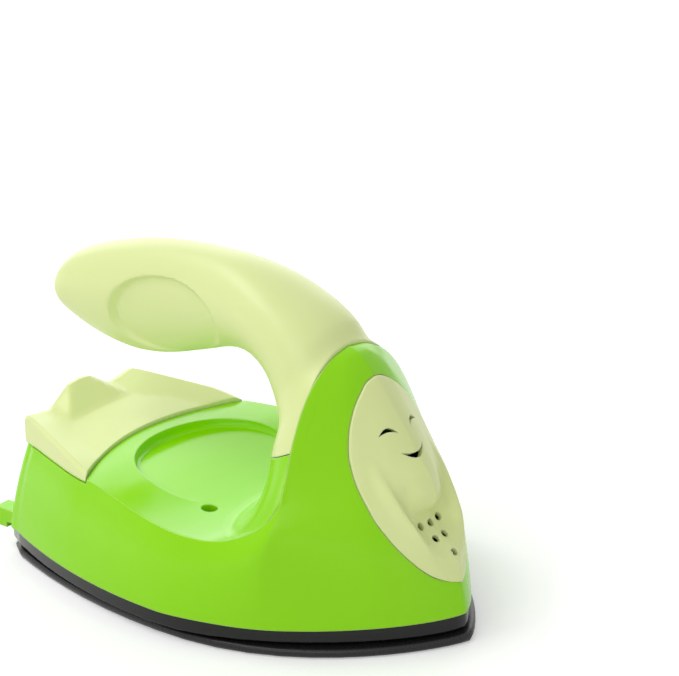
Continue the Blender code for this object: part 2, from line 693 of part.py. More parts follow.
def housing_half(surface, bottom_z, counts):
    """Grids of the +X half of the housing's closed surface."""
    over, side, corner, rows, depth, wall = counts
    t = surface.inset
    line = half_outline(EDGE_SHAPE, EDGE_CORNER, t, 700)[::-1]
    flat_end = int(np.argmax(line[:, 0] > EDGE_HEEL_HALF - EDGE_CORNER))
    corner_end = int(np.argmax(line[:, 1] < EDGE_HEEL - EDGE_CORNER))
    side_end = int(np.argmax(line[:, 1] < surface.hood_y))
    heel_points = resample(line[:flat_end + 1], over + 1, False)
    corner_points = resample(line[flat_end:corner_end + 1], corner + 1, False)[1:]
    side_points = resample(line[corner_end:side_end + 1], side + 1, False)[1:]
    side_points[-1, 1] = surface.hood_y
    bottoms = np.vstack([heel_points, corner_points, side_points])

    heel_y = HEEL_TOP_Y - t
    flat_half = float(surface.rim_half(HEEL_TOP_Y)) - t - HEEL_TOP_CORNER
    tops = [(flat_half * i / over, heel_y) for i in range(over + 1)]
    for i in range(1, corner + 1):
        angle = math.pi / 2 * i / corner
        tops.append((flat_half + HEEL_TOP_CORNER * math.sin(angle),
                     heel_y - HEEL_TOP_CORNER * (1 - math.cos(angle))))
    start_y = heel_y - HEEL_TOP_CORNER
    low_start = bottoms[over + corner, 1]
    for x, y in side_points:
        share = (low_start - y) / (low_start - surface.hood_y)
        top_y = start_y + (surface.hood_y - start_y) * share
        tops.append((float(surface.rim_half(top_y)) - t, top_y))
    tops[-1] = (float(surface.hood(surface.foot_z)), surface.hood_y)

    columns = []
    for i, ((low_x, low_y), (top_x, top_y)) in enumerate(zip(bottoms, tops)):
        last = i == len(tops) - 1
        top_z = surface.foot_z if last else float(surface.rim_top(top_y + t)) - t
        fade = float(soft_step(surface.hood_y + (start_y - surface.hood_y) / 4, surface.hood_y, top_y))
        column = []
        for j in range(rows + 1):
            v = j / rows
            z = bottom_z + (top_z - bottom_z) * v
            x = low_x + (top_x - low_x) * v
            if i > over:
                x += SIDE_BULGE * 4 * v * (1 - v) * (1 - fade)
            hood_x = float(surface.hood(bottom_z + (surface.foot_z - bottom_z) * v))
            x += (hood_x - (bottoms[-1][0] + (tops[-1][0] - bottoms[-1][0]) * v)) * fade
            column.append((x, low_y + (top_y - low_y) * v, z))
        columns.append(column)

    rows_xy = [[tops[over - k] for k in range(over + 1)]]
    for rim_x, rim_y in tops[over + 1:]:
        rows_xy.append([(rim_x * (1 - k / over), rim_y) for k in range(over + 1)])
    top_rows = []
    for index, row in enumerate(rows_xy):
        widen = float(surface.rim_half(row[0][1] + t)) / max(row[0][0], 1.0)
        points = [(x, y, float(surface.saddle(x * widen, y + t)) - t) for x, y in row]
        points[0] = (*row[0], columns[over + index][-1][2])
        if index == 0:
            points = [(x, y, columns[over - k][-1][2]) for k, (x, y) in enumerate(row)]
        top_rows.append(points)

    arch = []
    for k in range(over + 1):
        z = surface.foot_z + (surface.top_z - surface.foot_z) * math.sin(math.pi / 2 * k / over)
        arch.append((float(surface.hood(z)), surface.hood_y, z))
    arch[0] = top_rows[-1][0]
    arch[-1] = (0.0, surface.hood_y, surface.top_z)
    wall_rows = []
    for r in range(wall + 1):
        wall_rows.append([tuple(a + (b - a) * (r / wall) for a, b in zip(low, high))
                          for low, high in zip(top_rows[-1], arch)])

    levels = [bottom_z + (surface.foot_z - bottom_z) * j / rows for j in range(rows)]
    levels += [point[2] for point in arch]
    horn_rows = []
    for z in levels:
        nose = float(surface.nose(z))
        row = []
        for m in range(depth + 1):
            u = (1 - m / depth) ** 1.5
            x = float(surface.section(u, max(z, EDGE_Z))) * float(surface.hood(z))
            row.append((x if m < depth else 0.0, nose + (surface.hood_y - nose) * u, z))
        horn_rows.append(row)
    for j in range(rows):
        horn_rows[j][0] = columns[-1][j]
    for k, point in enumerate(arch):
        horn_rows[rows + k][0] = point
    return columns, top_rows, wall_rows, horn_rows


FINE = (12, 20, 4, 6, 12, 3)
COARSE = (8, 12, 3, 4, 8, 2)


def housing_body(name, surface, bottom_z, counts):
    """Closed body of the housing's outer form."""
    grids = housing_half(surface, bottom_z, counts)
    bm = bmesh.new()
    for sign in (1.0, -1.0):
        for grid in grids:
            add_grid(bm, [[(x * sign, y, z) for x, y, z in row] for row in grid])
    bmesh.ops.remove_doubles(bm, verts=bm.verts, dist=WELD * 4)
    bmesh.ops.contextual_create(bm, geom=[edge for edge in bm.edges if edge.is_boundary])
    return make_object(name, bm)


# Places shared by neighbours
SEAM_Z = float(height(COVER_SEAM_share))
DECK_UNDER = SEAM_Z - SHELL_WALL
ARC_Y = float(along(COVER_ARC_Y_share))
RECESS_Y = float(along(RECESS_Y_share))
WELL_X = float(across(WELL_X_share))
WELL_Y = float(along(WELL_Y_share))
FRONT_POST_Y = float(along(FRONT_POST_Y_share))
SEAM_GAP = GAP * (1 + POST_STEP / POST_FILLET)
BOSS_TOP = PLATFORM_TOP + BOSS_HEIGHT
TUBE_FOOT = BOSS_TOP + GAP
BOSSES = [(WELL_X, WELL_Y), (-WELL_X, WELL_Y), (0.0, FRONT_POST_Y)]
SCREW_TIP = BOSS_TOP - SCREW_ENGAGEMENT
BORE = SCREW_RADIUS + GAP
FRONT_SEAT = TUBE_FOOT + FRONT_POST_HEIGHT
COVER_SCREWS = [(side * float(across(COVER_SCREW_X_share)), float(along(COVER_SCREW_Y_share)))
                for side in (-1, 1)]
CLAMP_Y = float(along(CLAMP_BAR_Y_share))
CLAMP_POINTS = [(side * CLAMP_SCREW_X, CLAMP_Y) for side in (-1, 1)]
CLAMP_BOSS_FOOT = DECK_UNDER - CLAMP_BOSS_LENGTH
HANDLE_SCREWS_Z = [float(height(share)) for share in HANDLE_SCREW_Z_shares]
STACK_FRONT = float(along(STACK_FRONT_share))
STACK_REAR = float(along(STACK_REAR_share))
STACK_HALF = float(across(STACK_HALF_share))
MICA_LOW = PLATFORM_TOP + GAP
HEATER_LOW = MICA_LOW + MICA_THICK + GAP
MICA_TOP_LOW = HEATER_LOW + HEATER_THICK + GAP
CLAMP_LOW = MICA_TOP_LOW + MICA_THICK + GAP
NUT_LOW = CLAMP_LOW + CLAMP_THICK + GAP
NUT_TOP = NUT_LOW + NUT_HEIGHT
STUD_TOP = NUT_TOP + SHIELD_RISE
SHIELD_LOW = STUD_TOP + GAP
SHIELD_TOP = SHIELD_LOW + SHIELD_THICK
STUDS = [(0.0, float(along(share))) for share in STUD_Y_shares]
THERMOSTAT_Y = float(along(THERMOSTAT_Y_share))
THERMOSTAT_LOW = PLATFORM_TOP + GAP
TAB_LOW = THERMOSTAT_LOW + THERMOSTAT_BASE + THERMOSTAT_BODY_HEIGHT
TAB_TOP = TAB_LOW + TAB_HEIGHT
BLOCK_Y = float(along(BLOCK_Y_share))
BLOCK_LOW = SHIELD_TOP + GAP
BLOCK_TOP = BLOCK_LOW + BLOCK_HEIGHT
BLOCK_BORE_Z = BLOCK_LOW + BLOCK_HEIGHT / 2
OUTER = Housing()


def seam_height(y):
    """Height of the sloping seam between the pedestal and the handle."""
    slope = float(height(SEAM_FRONT_share) - height(SEAM_REAR_share)) / POST_DEPTH
    return float(height(SEAM_FRONT_share)) - slope * (y - HOOD_Y)


def pedestal(inset):
    """Pedestal that carries the handle and runs out into the saddle, moved inwards by inset."""
    front_z = seam_height(HOOD_Y)
    foot_z = float(height(HOOD_FOOT_share))
    power = 2 / POST_SQUARENESS
    last = POST_LEVEL_shares[-1]
    steepness = last / math.sqrt(1 - last ** 2)
    loops = []
    for level_share in POST_LEVEL_shares + [POST_LAST_share]:
        near = min(level_share, last)
        growth = 1 - math.sqrt(1 - near ** 2) + (level_share - near) * steepness
        depth = POST_DEPTH + POST_FILLET * growth - inset
        edge_z = front_z + (foot_z - front_z) * level_share
        half = float(OUTER.hood(edge_z)) - POST_STEP - inset
        loop = []
        for i in range(POST_AROUND + 1):
            angle = math.pi * i / POST_AROUND
            c, s = math.cos(angle), abs(math.sin(angle))
            start_y = HOOD_Y + (POST_DEPTH - inset) * s ** power
            x = math.copysign(abs(c) ** power, c) * half
            y = HOOD_Y + depth * s ** power
            top = seam_height(start_y)
            loop.append((x, y, top + (float(OUTER.saddle(x, y)) - top) * level_share - inset))
        inside = HOOD_Y - SHELL_WALL / 2 - inset
        loop = [(half, inside, seam_height(inside) - inset)] + loop + [(-half, inside,
                                                                        seam_height(inside) - inset)]
        if level_share > 0.0:
            loop[0] = (half, inside, loop[1][2])
            loop[-1] = (-half, inside, loop[-2][2])
        loops.append(loop)
    bottom = SEAM_Z - SHELL_WALL * 3 - inset
    loops.append([(x, y, bottom) for x, y, z in loops[-1]])
    return triangulate(loft("tool", loops))


def cover_arc(x):
    """Front edge of the rear cover in plan."""
    return ARC_Y - np.asarray(x, float) ** 2 / (2 * COVER_ARC_RADIUS)


def cover_seat_tool():
    """Space above the shell's seat for the rear cover."""
    xs = np.linspace(-EDGE_HALF, EDGE_HALF, 33)
    front = [(float(x), float(cover_arc(x))) for x in xs]
    back = EDGE_HEEL + CUT_PAST
    return prism("tool", front + [(EDGE_HALF, back), (-EDGE_HALF, back)], SEAM_Z, float(height(1.0)))


def recess_tool(grow, drop):
    """Disc over the recess: its lower face is the recess floor, lowered by drop."""
    rings = 6
    count = 48
    top = float(height(HOOD_FOOT_share)) + CUT_PAST
    rows = []
    for r in range(rings + 1):
        row = []
        for u, v in circle((RECESS_RADIUS + grow) * r / rings, count):
            y = RECESS_Y + v
            lift = RECESS_RAISE * float(1 - soft_step(along(SADDLE_SINK_END_share),
                                                      along(RECESS_RAISE_END_share), y))
            row.append((u, y, float(OUTER.saddle(u, y, SADDLE_SINK)) + lift - drop))
        rows.append(row)
    rows.append([(x, y, top) for x, y, z in rows[-1]])
    bm = bmesh.new()
    verts = add_grid(bm, rows, close_rows=True)
    bm.faces.new(verts[-1])
    return make_object("tool", bm)


def face_outline():
    """Closed outline of the face plate in the XZ plane."""
    share = 0.5 - 0.5 * np.cos(np.linspace(0.0, math.pi, 25))
    z = FACE_shares[0][0] + (FACE_shares[-1][0] - FACE_shares[0][0]) * share
    right = np.stack([across(spline(FACE_shares)(z)), height(z)], axis=1)
    left = (right[1:-1] * np.array([-1.0, 1.0]))[::-1]
    return np.vstack([right, left])


def face_opening_tool():
    """Opening behind the face plate, with the clearance around it."""
    loop = face_outline()
    middle = (loop.min(axis=0) + loop.max(axis=0)) / 2
    reach = (loop.max(axis=0) - loop.min(axis=0)) / 2
    grown = middle + (loop - middle) * (1 + GAP / reach)
    front = EDGE_TOE - CUT_PAST - RELIEF
    back = HOOD_Y - SHELL_WALL - CUT_PAST
    return loft("tool", [[(x, front, z) for x, z in grown], [(x, back, z) for x, z in grown]])


def peg(side):
    """Standing peg at a heel corner."""
    inner = float(across(PEG_INNER_X_share))
    root = EDGE_HEEL - PEG_ROOT
    end = EDGE_HEEL + PEG_OUT
    clear = EDGE_HEEL + GAP
    low = EDGE_Z - PEG_DROP
    high = EDGE_Z + PEG_RISE
    profile = [(root, EDGE_Z + GAP), (clear, EDGE_Z + GAP), (clear, low), (end - PEG_CHAMFER, low),
               (end, low + PEG_CHAMFER), (end, high - PEG_CHAMFER), (end - PEG_CHAMFER, high),
               (root, high)]
    loops = [[(side * x, y, z) for y, z in profile] for x in (inner, inner + PEG_WIDTH)]
    return loft("tool", loops)


def build_shell():
    """Housing shell: outer form, hollow inside, with openings, posts, wells and heel pegs."""
    shell = housing_body("housing_shell", OUTER, EDGE_Z, FINE)
    for side in (-1, 1):
        add(shell, peg(side))
    add(shell, pedestal(0.0))
    cut(shell, cover_seat_tool())
    cut(shell, recess_tool(0.0, 0.0))
    cavity = housing_body("cavity", Housing(SHELL_WALL), EDGE_Z - CUT_PAST, COARSE)
    half = EDGE_HALF
    ceiling_front = ARC_Y - float(across(1.0)) / 3
    cut(cavity, box("tool", (-half, ceiling_front, DECK_UNDER),
                    (half, EDGE_HEEL + CUT_PAST, float(height(1.0)))))
    add(cavity, pedestal(POST_WALL))
    cut(cavity, recess_tool(SHELL_WALL, SHELL_WALL))
    cut(shell, cavity)
    cut(shell, face_opening_tool())
    for x, y in BOSSES[:2]:
        top = float(OUTER.saddle(x, y, SADDLE_SINK))
        post(shell, TUBE_RADIUS, (x, y, 0.0), TUBE_FOOT, top - SHELL_WALL / 2)
        drill(shell, WELL_RADIUS, (x, y, 0.0), top - WELL_DEPTH, top + CUT_PAST, "Z", SMALL_COUNT)
        drill(shell, BORE, (x, y, 0.0), TUBE_FOOT - CUT_PAST, top - SHELL_WALL, "Z", SMALL_COUNT)
    post(shell, TUBE_RADIUS, (0.0, FRONT_POST_Y, 0.0), TUBE_FOOT, FRONT_SEAT)
    nose = float(OUTER.nose(TUBE_FOOT)) + SHELL_WALL / 2
    add(shell, box("tool", (-FRONT_RIB_HALF, nose, TUBE_FOOT + GAP),
                   (FRONT_RIB_HALF, FRONT_POST_Y - BORE - GAP, TUBE_FOOT + FRONT_RIB_HEIGHT)))
    drill(shell, BORE, (0.0, FRONT_POST_Y, 0.0), TUBE_FOOT - CUT_PAST, FRONT_SEAT + CUT_PAST, "Z",
          SMALL_COUNT)
    for z in HANDLE_SCREWS_Z:
        drill(shell, HANDLE_SCREW_RADIUS + GAP, (0.0, HOOD_Y, z), -SHELL_WALL - CUT_PAST, CUT_PAST, "Y",
              SMALL_COUNT)
    for x, y in COVER_SCREWS:
        drill(shell, BORE, (x, y, 0.0), DECK_UNDER - CUT_PAST, SEAM_Z + CUT_PAST, "Z", SMALL_COUNT)
    for x, y in CLAMP_POINTS:
        post(shell, CLAMP_BOSS_RADIUS, (x, y, 0.0), CLAMP_BOSS_FOOT, SEAM_Z - SHELL_WALL / 2)
        drill(shell, BORE, (x, y, 0.0), CLAMP_BOSS_FOOT - CUT_PAST, SEAM_Z - GAP, "Z", SMALL_COUNT)
    drill(shell, CORD_HOLE_RADIUS, (0.0, float(along(CORD_HOLE_Y_share)), 0.0), DECK_UNDER - CUT_PAST,
          SEAM_Z + CUT_PAST)
    return finish_object(shell, "shell_green")


def build_soleplate():
    """Cast soleplate with a platform, screw bosses and studs."""
    profile = [(0.0, SOLE_LOWER_ROUND), (SOLE_LOWER_ROUND / 3, SOLE_LOWER_ROUND / 3),
               (SOLE_LOWER_ROUND, 0.0),
               (SOLE_RIM_TOP - SOLE_UPPER_ROUND, 0.0),
               (SOLE_RIM_TOP - SOLE_UPPER_ROUND / 4, SOLE_UPPER_ROUND / 2),
               (SOLE_RIM_TOP, SOLE_UPPER_ROUND * 1.5), (SOLE_RIM_TOP, PLATFORM_INSET),
               (PLATFORM_TOP, PLATFORM_INSET)]
    plate = loft("soleplate", [level(SOLE_SHAPE, SOLE_CORNER, inset, z) for z, inset in profile])
    middle = PLATFORM_TOP - PLATFORM_HEIGHT / 2
    for x, y in BOSSES:
        post(plate, BOSS_RADIUS, (x, y, 0.0), middle, BOSS_TOP)
        drill(plate, BORE, (x, y, 0.0), SCREW_TIP - GAP, BOSS_TOP + CUT_PAST, "Z", SMALL_COUNT)
    for x, y in STUDS:
        post(plate, STUD_RADIUS, (x, y, 0.0), middle, STUD_TOP, "Z", SMALL_COUNT)
        drill(plate, PIN_RADIUS + GAP, (x, y, 0.0), STUD_TOP - PIN_DEPTH - GAP, STUD_TOP + CUT_PAST, "Z",
              SMALL_COUNT)
    return finish_object(plate, "sole_black")


def build_ring():
    """Skirt ring: outer band with a flange that lies over the soleplate's platform."""
    outer = RING_SETBACK
    inner = outer + RING_WALL
    flange = outer + RING_FLANGE
    under = RING_TOP - RING_FLANGE_THICK
    levels = [(RING_BOTTOM, outer + RING_CHAMFER), (RING_BOTTOM + RING_CHAMFER, outer), (RING_TOP, outer),
              (RING_TOP, flange), (under, flange), (under, inner), (RING_BOTTOM, inner)]
    loops = [level(EDGE_SHAPE, EDGE_CORNER, inset, z) for z, inset in levels]
    loops.append(loops[0])
    bm = bmesh.new()
    add_grid(bm, loops, close_rows=True)
    return make_object("skirt_ring", bm, "ring_black")


def handle_loops(wall):
    """Closed section loops of the handle, moved inwards by wall."""
    dimple_y = float(along(DIMPLE_Y_share))
    dimple_z = float(height(DIMPLE_Z_share))
    loops = []
    for upper_y, upper_z, lower_y, lower_z, half_share, squareness, egg in HANDLE_shares:
        upper = np.array([float(along(upper_y)), float(height(upper_z))])
        lower = np.array([float(along(lower_y)), float(height(lower_z))])
        half = float(across(half_share)) - wall
        middle = (upper + lower) / 2
        size = float(np.linalg.norm(upper - lower)) / 2
        direction = (upper - lower) / (2 * size)
        size -= wall
        if size < wall or half < wall:
            continue
        loop = []
        for i in range(HANDLE_AROUND):
            angle = 2 * math.pi * i / HANDLE_AROUND
            c, s = math.cos(angle), math.sin(angle)
            a = math.copysign(abs(c) ** (2 / squareness), c) * size
            b = math.copysign(abs(s) ** (2 / squareness), s) * half * (1 + egg * c)
            y, z = middle + direction * a
            spot = ((y - dimple_y) * 2 / DIMPLE_LENGTH) ** 2 + ((z - dimple_z) * 2 / DIMPLE_HEIGHT) ** 2
            dip = DIMPLE_DEPTH * float(soft_step(0.0, DIMPLE_EDGE_share, 1 - spot)) * abs(s)
            loop.append((math.copysign(max(abs(b) - dip, 0.0), b), float(y), float(z)))
        loops.append(loop)
    return loops


def handle_rear(z):
    """Y of the handle's rear line at a height above its foot."""
    line = [(float(height(row[3])), float(along(row[2]))) for row in HANDLE_shares[-8:]]
    return float(np.interp(z, *zip(*sorted(line))))


def build_handle():
    """Hollow hooked handle that ends against the hood and the pedestal, with two screw posts."""
    bm = bmesh.new()
    verts = add_grid(bm, handle_loops(0.0), close_rows=True)
    tip = bm.verts.new((0.0, float(along(HANDLE_TIP_shares[0])), float(height(HANDLE_TIP_shares[1]))))
    for i in range(HANDLE_AROUND):
        bm.faces.new((verts[0][i], verts[0][(i + 1) % HANDLE_AROUND], tip))
    bm.faces.new(verts[-1])
    handle = make_object("handle_grip", bm)
    cut(handle, loft("tool", handle_loops(HANDLE_WALL)[::2]))
    for z in HANDLE_SCREWS_Z:
        rear = handle_rear(z - HANDLE_BOSS_RADIUS) - HANDLE_WALL / 2
        post(handle, HANDLE_BOSS_RADIUS, (0.0, 0.0, z), HOOD_Y - CUT_PAST, rear, "Y")
    top = float(height(1.0)) + POST_DEPTH
    cut(handle, box("tool", (-EDGE_HALF, EDGE_TOE, EDGE_Z), (EDGE_HALF, HOOD_Y + GAP, top)))
    profile = [(EDGE_TOE, EDGE_Z), (EDGE_TOE, seam_height(EDGE_TOE) + SEAM_GAP),
               (0.0, seam_height(0.0) + SEAM_GAP), (0.0, EDGE_Z)]
    cut(handle, loft("tool", [[(x, y, z) for y, z in profile] for x in (-EDGE_HALF, EDGE_HALF)]))
    for z in HANDLE_SCREWS_Z:
        drill(handle, HANDLE_SCREW_RADIUS + GAP, (0.0, HOOD_Y, z), -CUT_PAST, HANDLE_SCREW_LENGTH + GAP,
              "Y",
              SMALL_COUNT)
    return finish_object(handle, "pale_green")


def relief(x, z):
    """How far the face plate stands in front of the housing's own surface."""
    share = (z - EDGE_Z) / HOUSING_HEIGHT
    half = max(float(across(spline(FACE_shares)(share))), GAP)
    values = []
    for k in range(len(RELIEF_ACROSS_shares)):
        values.append((RELIEF_ACROSS_shares[k], float(spline([(row[0], row[1 + k])
                                                              for row in RELIEF_shares])(share))))
    return RELIEF * float(spline(values)(min(abs(x) / half, 1.0)))


def face_row(z, count, depth):
    """One level of the face plate's surface."""
    half = float(across(spline(FACE_shares)((z - EDGE_Z) / HOUSING_HEIGHT)))
    row = []
    for i in range(count + 1):
        x = half * math.sin(math.pi / 2 * (2 * i / count - 1))
        row.append((x, OUTER.front_y(x, z) - relief(x, z) + depth, z))
    return row


def face_point(x, z):
    """Point on the face plate's front."""
    return np.array([x, OUTER.front_y(x, z) - relief(x, z), z])


def face_frame(x, z):
    """Point and unit axes of the face plate's front: across, up along it, and outwards."""
    step = GAP
    sideways = face_point(x + step, z) - face_point(x - step, z)
    upwards = face_point(x, z + step) - face_point(x, z - step)
    sideways /= np.linalg.norm(sideways)
    upwards -= sideways * float(np.dot(upwards, sideways))
    upwards /= np.linalg.norm(upwards)
    out = np.cross(upwards, sideways)
    return face_point(x, z), sideways, upwards, -out if out[1] > 0 else out


def pierce(plate, place, shape, low, high):
    """Cut a flat shape into the face plate along its own normal."""
    origin, sideways, upwards, out = face_frame(*place)
    loops = []
    for depth in (low, high):
        loops.append([tuple(origin + sideways * u + upwards * v + out * depth) for u, v in shape])
    return cut(plate, loft("tool", loops))


def crescent(radius, thick, sweep):
    """Outline of an arc that thins to both ends."""
    steps = 10
    inner, outer = [], []
    for i in range(steps + 1):
        share = i / steps
        angle = math.radians(sweep[0] + (sweep[1] - sweep[0]) * share)
        half = thick / 2 * math.sin(math.pi * min(max(share, 0.04), 0.96))
        inner.append(((radius - half) * math.cos(angle), (radius - half) * math.sin(angle)))
        outer.append(((radius + half) * math.cos(angle), (radius + half) * math.sin(angle)))
    return outer + inner[::-1]


def build_face():
    """Face plate with closed eyes, a smile and six vents."""
    levels = 22
    low, high = float(height(FACE_shares[0][0])), float(height(FACE_shares[-1][0]))
    share = [0.5 - 0.5 * math.cos(math.pi * (i + 0.35) / (levels + 0.7)) for i in range(levels + 1)]
    zs = [low + (high - low) * s for s in share]
    count = 18
    bm = bmesh.new()
    close_sheet(bm, [face_row(z, count, 0.0) for z in zs], [face_row(z, count, FACE_THICK) for z in zs])
    plate = make_object("face_plate", bm)
    vent_z = float(height(VENT_TOP_share))
    for row in range(VENT_ROWS):
        holes = VENT_ROWS - row
        for k in range(holes):
            place = ((k - (holes - 1) / 2) * VENT_PITCH_X, vent_z - row * VENT_PITCH_Z)
            pierce(plate, place, circle(VENT_RADIUS, SMALL_COUNT), -FACE_THICK - CUT_PAST, CUT_PAST)
    for side in (-1, 1):
        place = (side * EYE_X, float(height(EYE_Z_share)))
        pierce(plate, place, crescent(EYE_RADIUS, EYE_THICK, EYE_SWEEP), -GROOVE_DEPTH, CUT_PAST)
    place = (0.0, float(height(MOUTH_Z_share)))
    pierce(plate, place, crescent(MOUTH_RADIUS, MOUTH_THICK, MOUTH_SWEEP), -GROOVE_DEPTH, CUT_PAST)
    return finish_object(plate, "pale_green")


def cover_points():
    """Named points of the cover's top in millimetres."""
    return {name: (float(across(x)), float(along(y)), float(height(z))) for name,
            (x, y, z) in COVER_shares.items()}


def cover_height(x, y, points):
    """Height of the cover's top at plan points, from its named facets."""
    x = np.abs(x)
    result = np.full(x.shape, np.nan)
    for names in COVER_FACES:
        (ax, ay, az), (bx, by, bz), (cx, cy, cz) = (points[name] for name in names)
        area = (bx - ax) * (cy - ay) - (cx - ax) * (by - ay)
        wb = ((x - ax) * (cy - ay) - (cx - ax) * (y - ay)) / area
        wc = ((bx - ax) * (y - ay) - (x - ax) * (by - ay)) / area
        wa = 1 - wb - wc
        inside = (np.minimum(np.minimum(wa, wb), wc) > -0.004) & np.isnan(result)
        result[inside] = (wa * az + wb * bz + wc * cz)[inside]
    return result


def cover_plan(inset, count_x, count_y):
    """Plan grid of the cover, front edge first, with x from -X to +X."""
    rear_y = HEEL_TOP_Y - COVER_HEEL_INSET - inset
    rows = []
    for j in range(count_y + 1):
        row = []
        for i in range(count_x + 1):
            a = 2 * i / count_x - 1
            a = math.sin(math.pi / 2 * a) * 0.35 + a * 0.65
            front_y = ARC_Y
            for _ in range(12):
                side = float(OUTER.rim_half(front_y)) - COVER_EDGE_INSET - inset
                front_y = float(cover_arc(a * side)) + GAP + inset
            y = front_y + (rear_y - front_y) * j / count_y
            row.append((a * (float(OUTER.rim_half(y)) - COVER_EDGE_INSET - inset), y))
        rows.append(row)
    return rows


def cover_sheet(plan, drop):
    """Top of the cover over a plan grid, with the facets' edges softened."""
    points = cover_points()
    grid = np.array(plan)
    total = np.zeros(grid.shape[:2])
    steps = [(0, 0), (0, 0), (1, 0), (-1, 0), (0, 1), (0, -1)]
    middle_y = (ARC_Y + HEEL_TOP_Y) / 2
    for dx, dy in steps:
        x = grid[..., 0] + dx * COVER_BLUR
        y = grid[..., 1] + dy * COVER_BLUR
        heights = cover_height(x, y, points)
        pull = 1.0
        while np.isnan(heights).any() and pull > 0.8:
            pull -= 0.01
            again = cover_height(x * pull, middle_y + (y - middle_y) * pull, points)
            heights = np.where(np.isnan(heights), again, heights)
        total += heights
    heights = total / len(steps) - drop
    heights[:, 0] -= COVER_SIDE_ROUND
    heights[:, -1] -= COVER_SIDE_ROUND
    heights[-1] -= COVER_REAR_ROUND
    return [[(x, y, float(z)) for (x, y), z in zip(row, line)] for row, line in zip(plan, heights)]


def build_cover():
    """Rear cover: a thin lid over the shell's seat, with two screw posts and the cord opening."""
    low = SEAM_Z + GAP
    top = cover_sheet(cover_plan(0.0, 28, 20), 0.0)
    bm = bmesh.new()
    spread = [[(x * (1 + COVER_EDGE_INSET / row[-1][0]), y, low) for x, y, z in row] for row in top]
    close_sheet(bm, top, spread)
    cover = make_object("rear_cover", bm)
    inner = cover_sheet(cover_plan(COVER_WALL, 12, 9), COVER_WALL)
    bm = bmesh.new()
    close_sheet(bm, inner, [[(x, y, low - CUT_PAST) for x, y, z in row] for row in inner])
    cut(cover, make_object("tool", bm))
    points = cover_points()
    for x, y in COVER_SCREWS:
        roof = float(cover_height(np.array([x]), np.array([y]), points)[0])
        post(cover, COVER_BOSS_RADIUS, (x, y, 0.0), low, roof - COVER_WALL / 2, "Z", SMALL_COUNT)
        drill(cover, BORE, (x, y, 0.0), low - CUT_PAST, low + COVER_SCREW_LENGTH, "Z", SMALL_COUNT)
    drill(cover, BUSH_RADIUS + GAP, (0.0, HEEL_TOP_Y, float(height(BUSH_Z_share))), -COVER_WALL * 2,
          CUT_PAST, "Y")
    return finish_object(cover, "pale_green", 25)


def build_bush():
    """Rubber cord bush pressed through the cover's rear wall."""
    outside = HEEL_TOP_Y - COVER_HEEL_INSET + GAP
    inside = outside - GAP - COVER_WALL - BUSH_PAST_WALL
    centre = (0.0, 0.0, float(height(BUSH_Z_share)))
    profile = [(BUSH_RADIUS, inside), (BUSH_RADIUS, outside), (BUSH_FLANGE_RADIUS, outside),
               (BUSH_FLANGE_RADIUS, outside + BUSH_FLANGE_THICK)]
    bush = turned("cord_bush", profile, centre, None, "Y")
    drill(bush, BUSH_BORE, centre, inside - CUT_PAST, outside + BUSH_FLANGE_THICK + CUT_PAST, "Y")
    return finish_object(bush, "black_rubber")


def stack_sheet(name, low, thick, grow, finish):
    """Flat sheet of the heating stack with holes for the studs."""
    front = STACK_FRONT - grow
    rear = STACK_REAR + grow
    half = STACK_HALF + grow
    nose = half * STACK_NOSE_share
    points = [(-nose, front), (nose, front), (half, front + STACK_SHOULDER), (half, rear), (-half, rear),
              (-half, front + STACK_SHOULDER)]
    sheet = prism(name, points, low, low + thick)
    for x, y in STUDS:
        drill(sheet, STUD_RADIUS + GAP, (x, y, 0.0), low - CUT_PAST, low + thick + CUT_PAST, "Z",
              SMALL_COUNT)
    return finish_object(sheet, finish)


def build_nuts():
    """Two nuts that press the clamp plate down."""
    nuts = []
    for x, y in STUDS:
        nut = turned("nut", [(NUT_RADIUS, NUT_LOW), (NUT_RADIUS, NUT_TOP)], (x, y, 0.0), None, "Z", 6)
        nuts.append(drill(nut, STUD_RADIUS + GAP, (x, y, 0.0), NUT_LOW - CUT_PAST, NUT_TOP + CUT_PAST,
                          "Z", SMALL_COUNT))
    name_each("clamp_nut", nuts, "steel")


def build_shield():
    """Thin steel shield over the heating parts."""
    shield = prism("heat_shield", [tuple(p) for p in outline(EDGE_SHAPE, EDGE_CORNER, SHIELD_INSET)],
                   SHIELD_LOW, SHIELD_TOP)
    low, high = SHIELD_LOW - CUT_PAST, SHIELD_TOP + CUT_PAST
    for x, y in BOSSES:
        drill(shield, TUBE_RADIUS + SHIELD_HOLE_MARGIN, (x, y, 0.0), low, high)
    for x, y in STUDS:
        drill(shield, PIN_RADIUS + GAP, (x, y, 0.0), low, high, "Z", SMALL_COUNT)
    reach = THERMOSTAT_BODY_RADIUS + GAP
    rear = BLOCK_Y - BLOCK_HALF[1]
    cut(shield, box("tool", (-reach, THERMOSTAT_Y - reach, low), (reach, rear, high)))
    return finish_object(shield, "steel")


def build_pins():
    """Two screws that hold the shield on the studs."""
    pins = []
    for x, y in STUDS:
        seat = SHIELD_TOP + GAP
        pins.append(screw("pin", (x, y, 0.0), STUD_TOP - PIN_DEPTH, seat, seat + PIN_HEAD_HEIGHT,
                          PIN_RADIUS,
                          PIN_HEAD_RADIUS))
    name_each("shield_screw", pins, "steel")


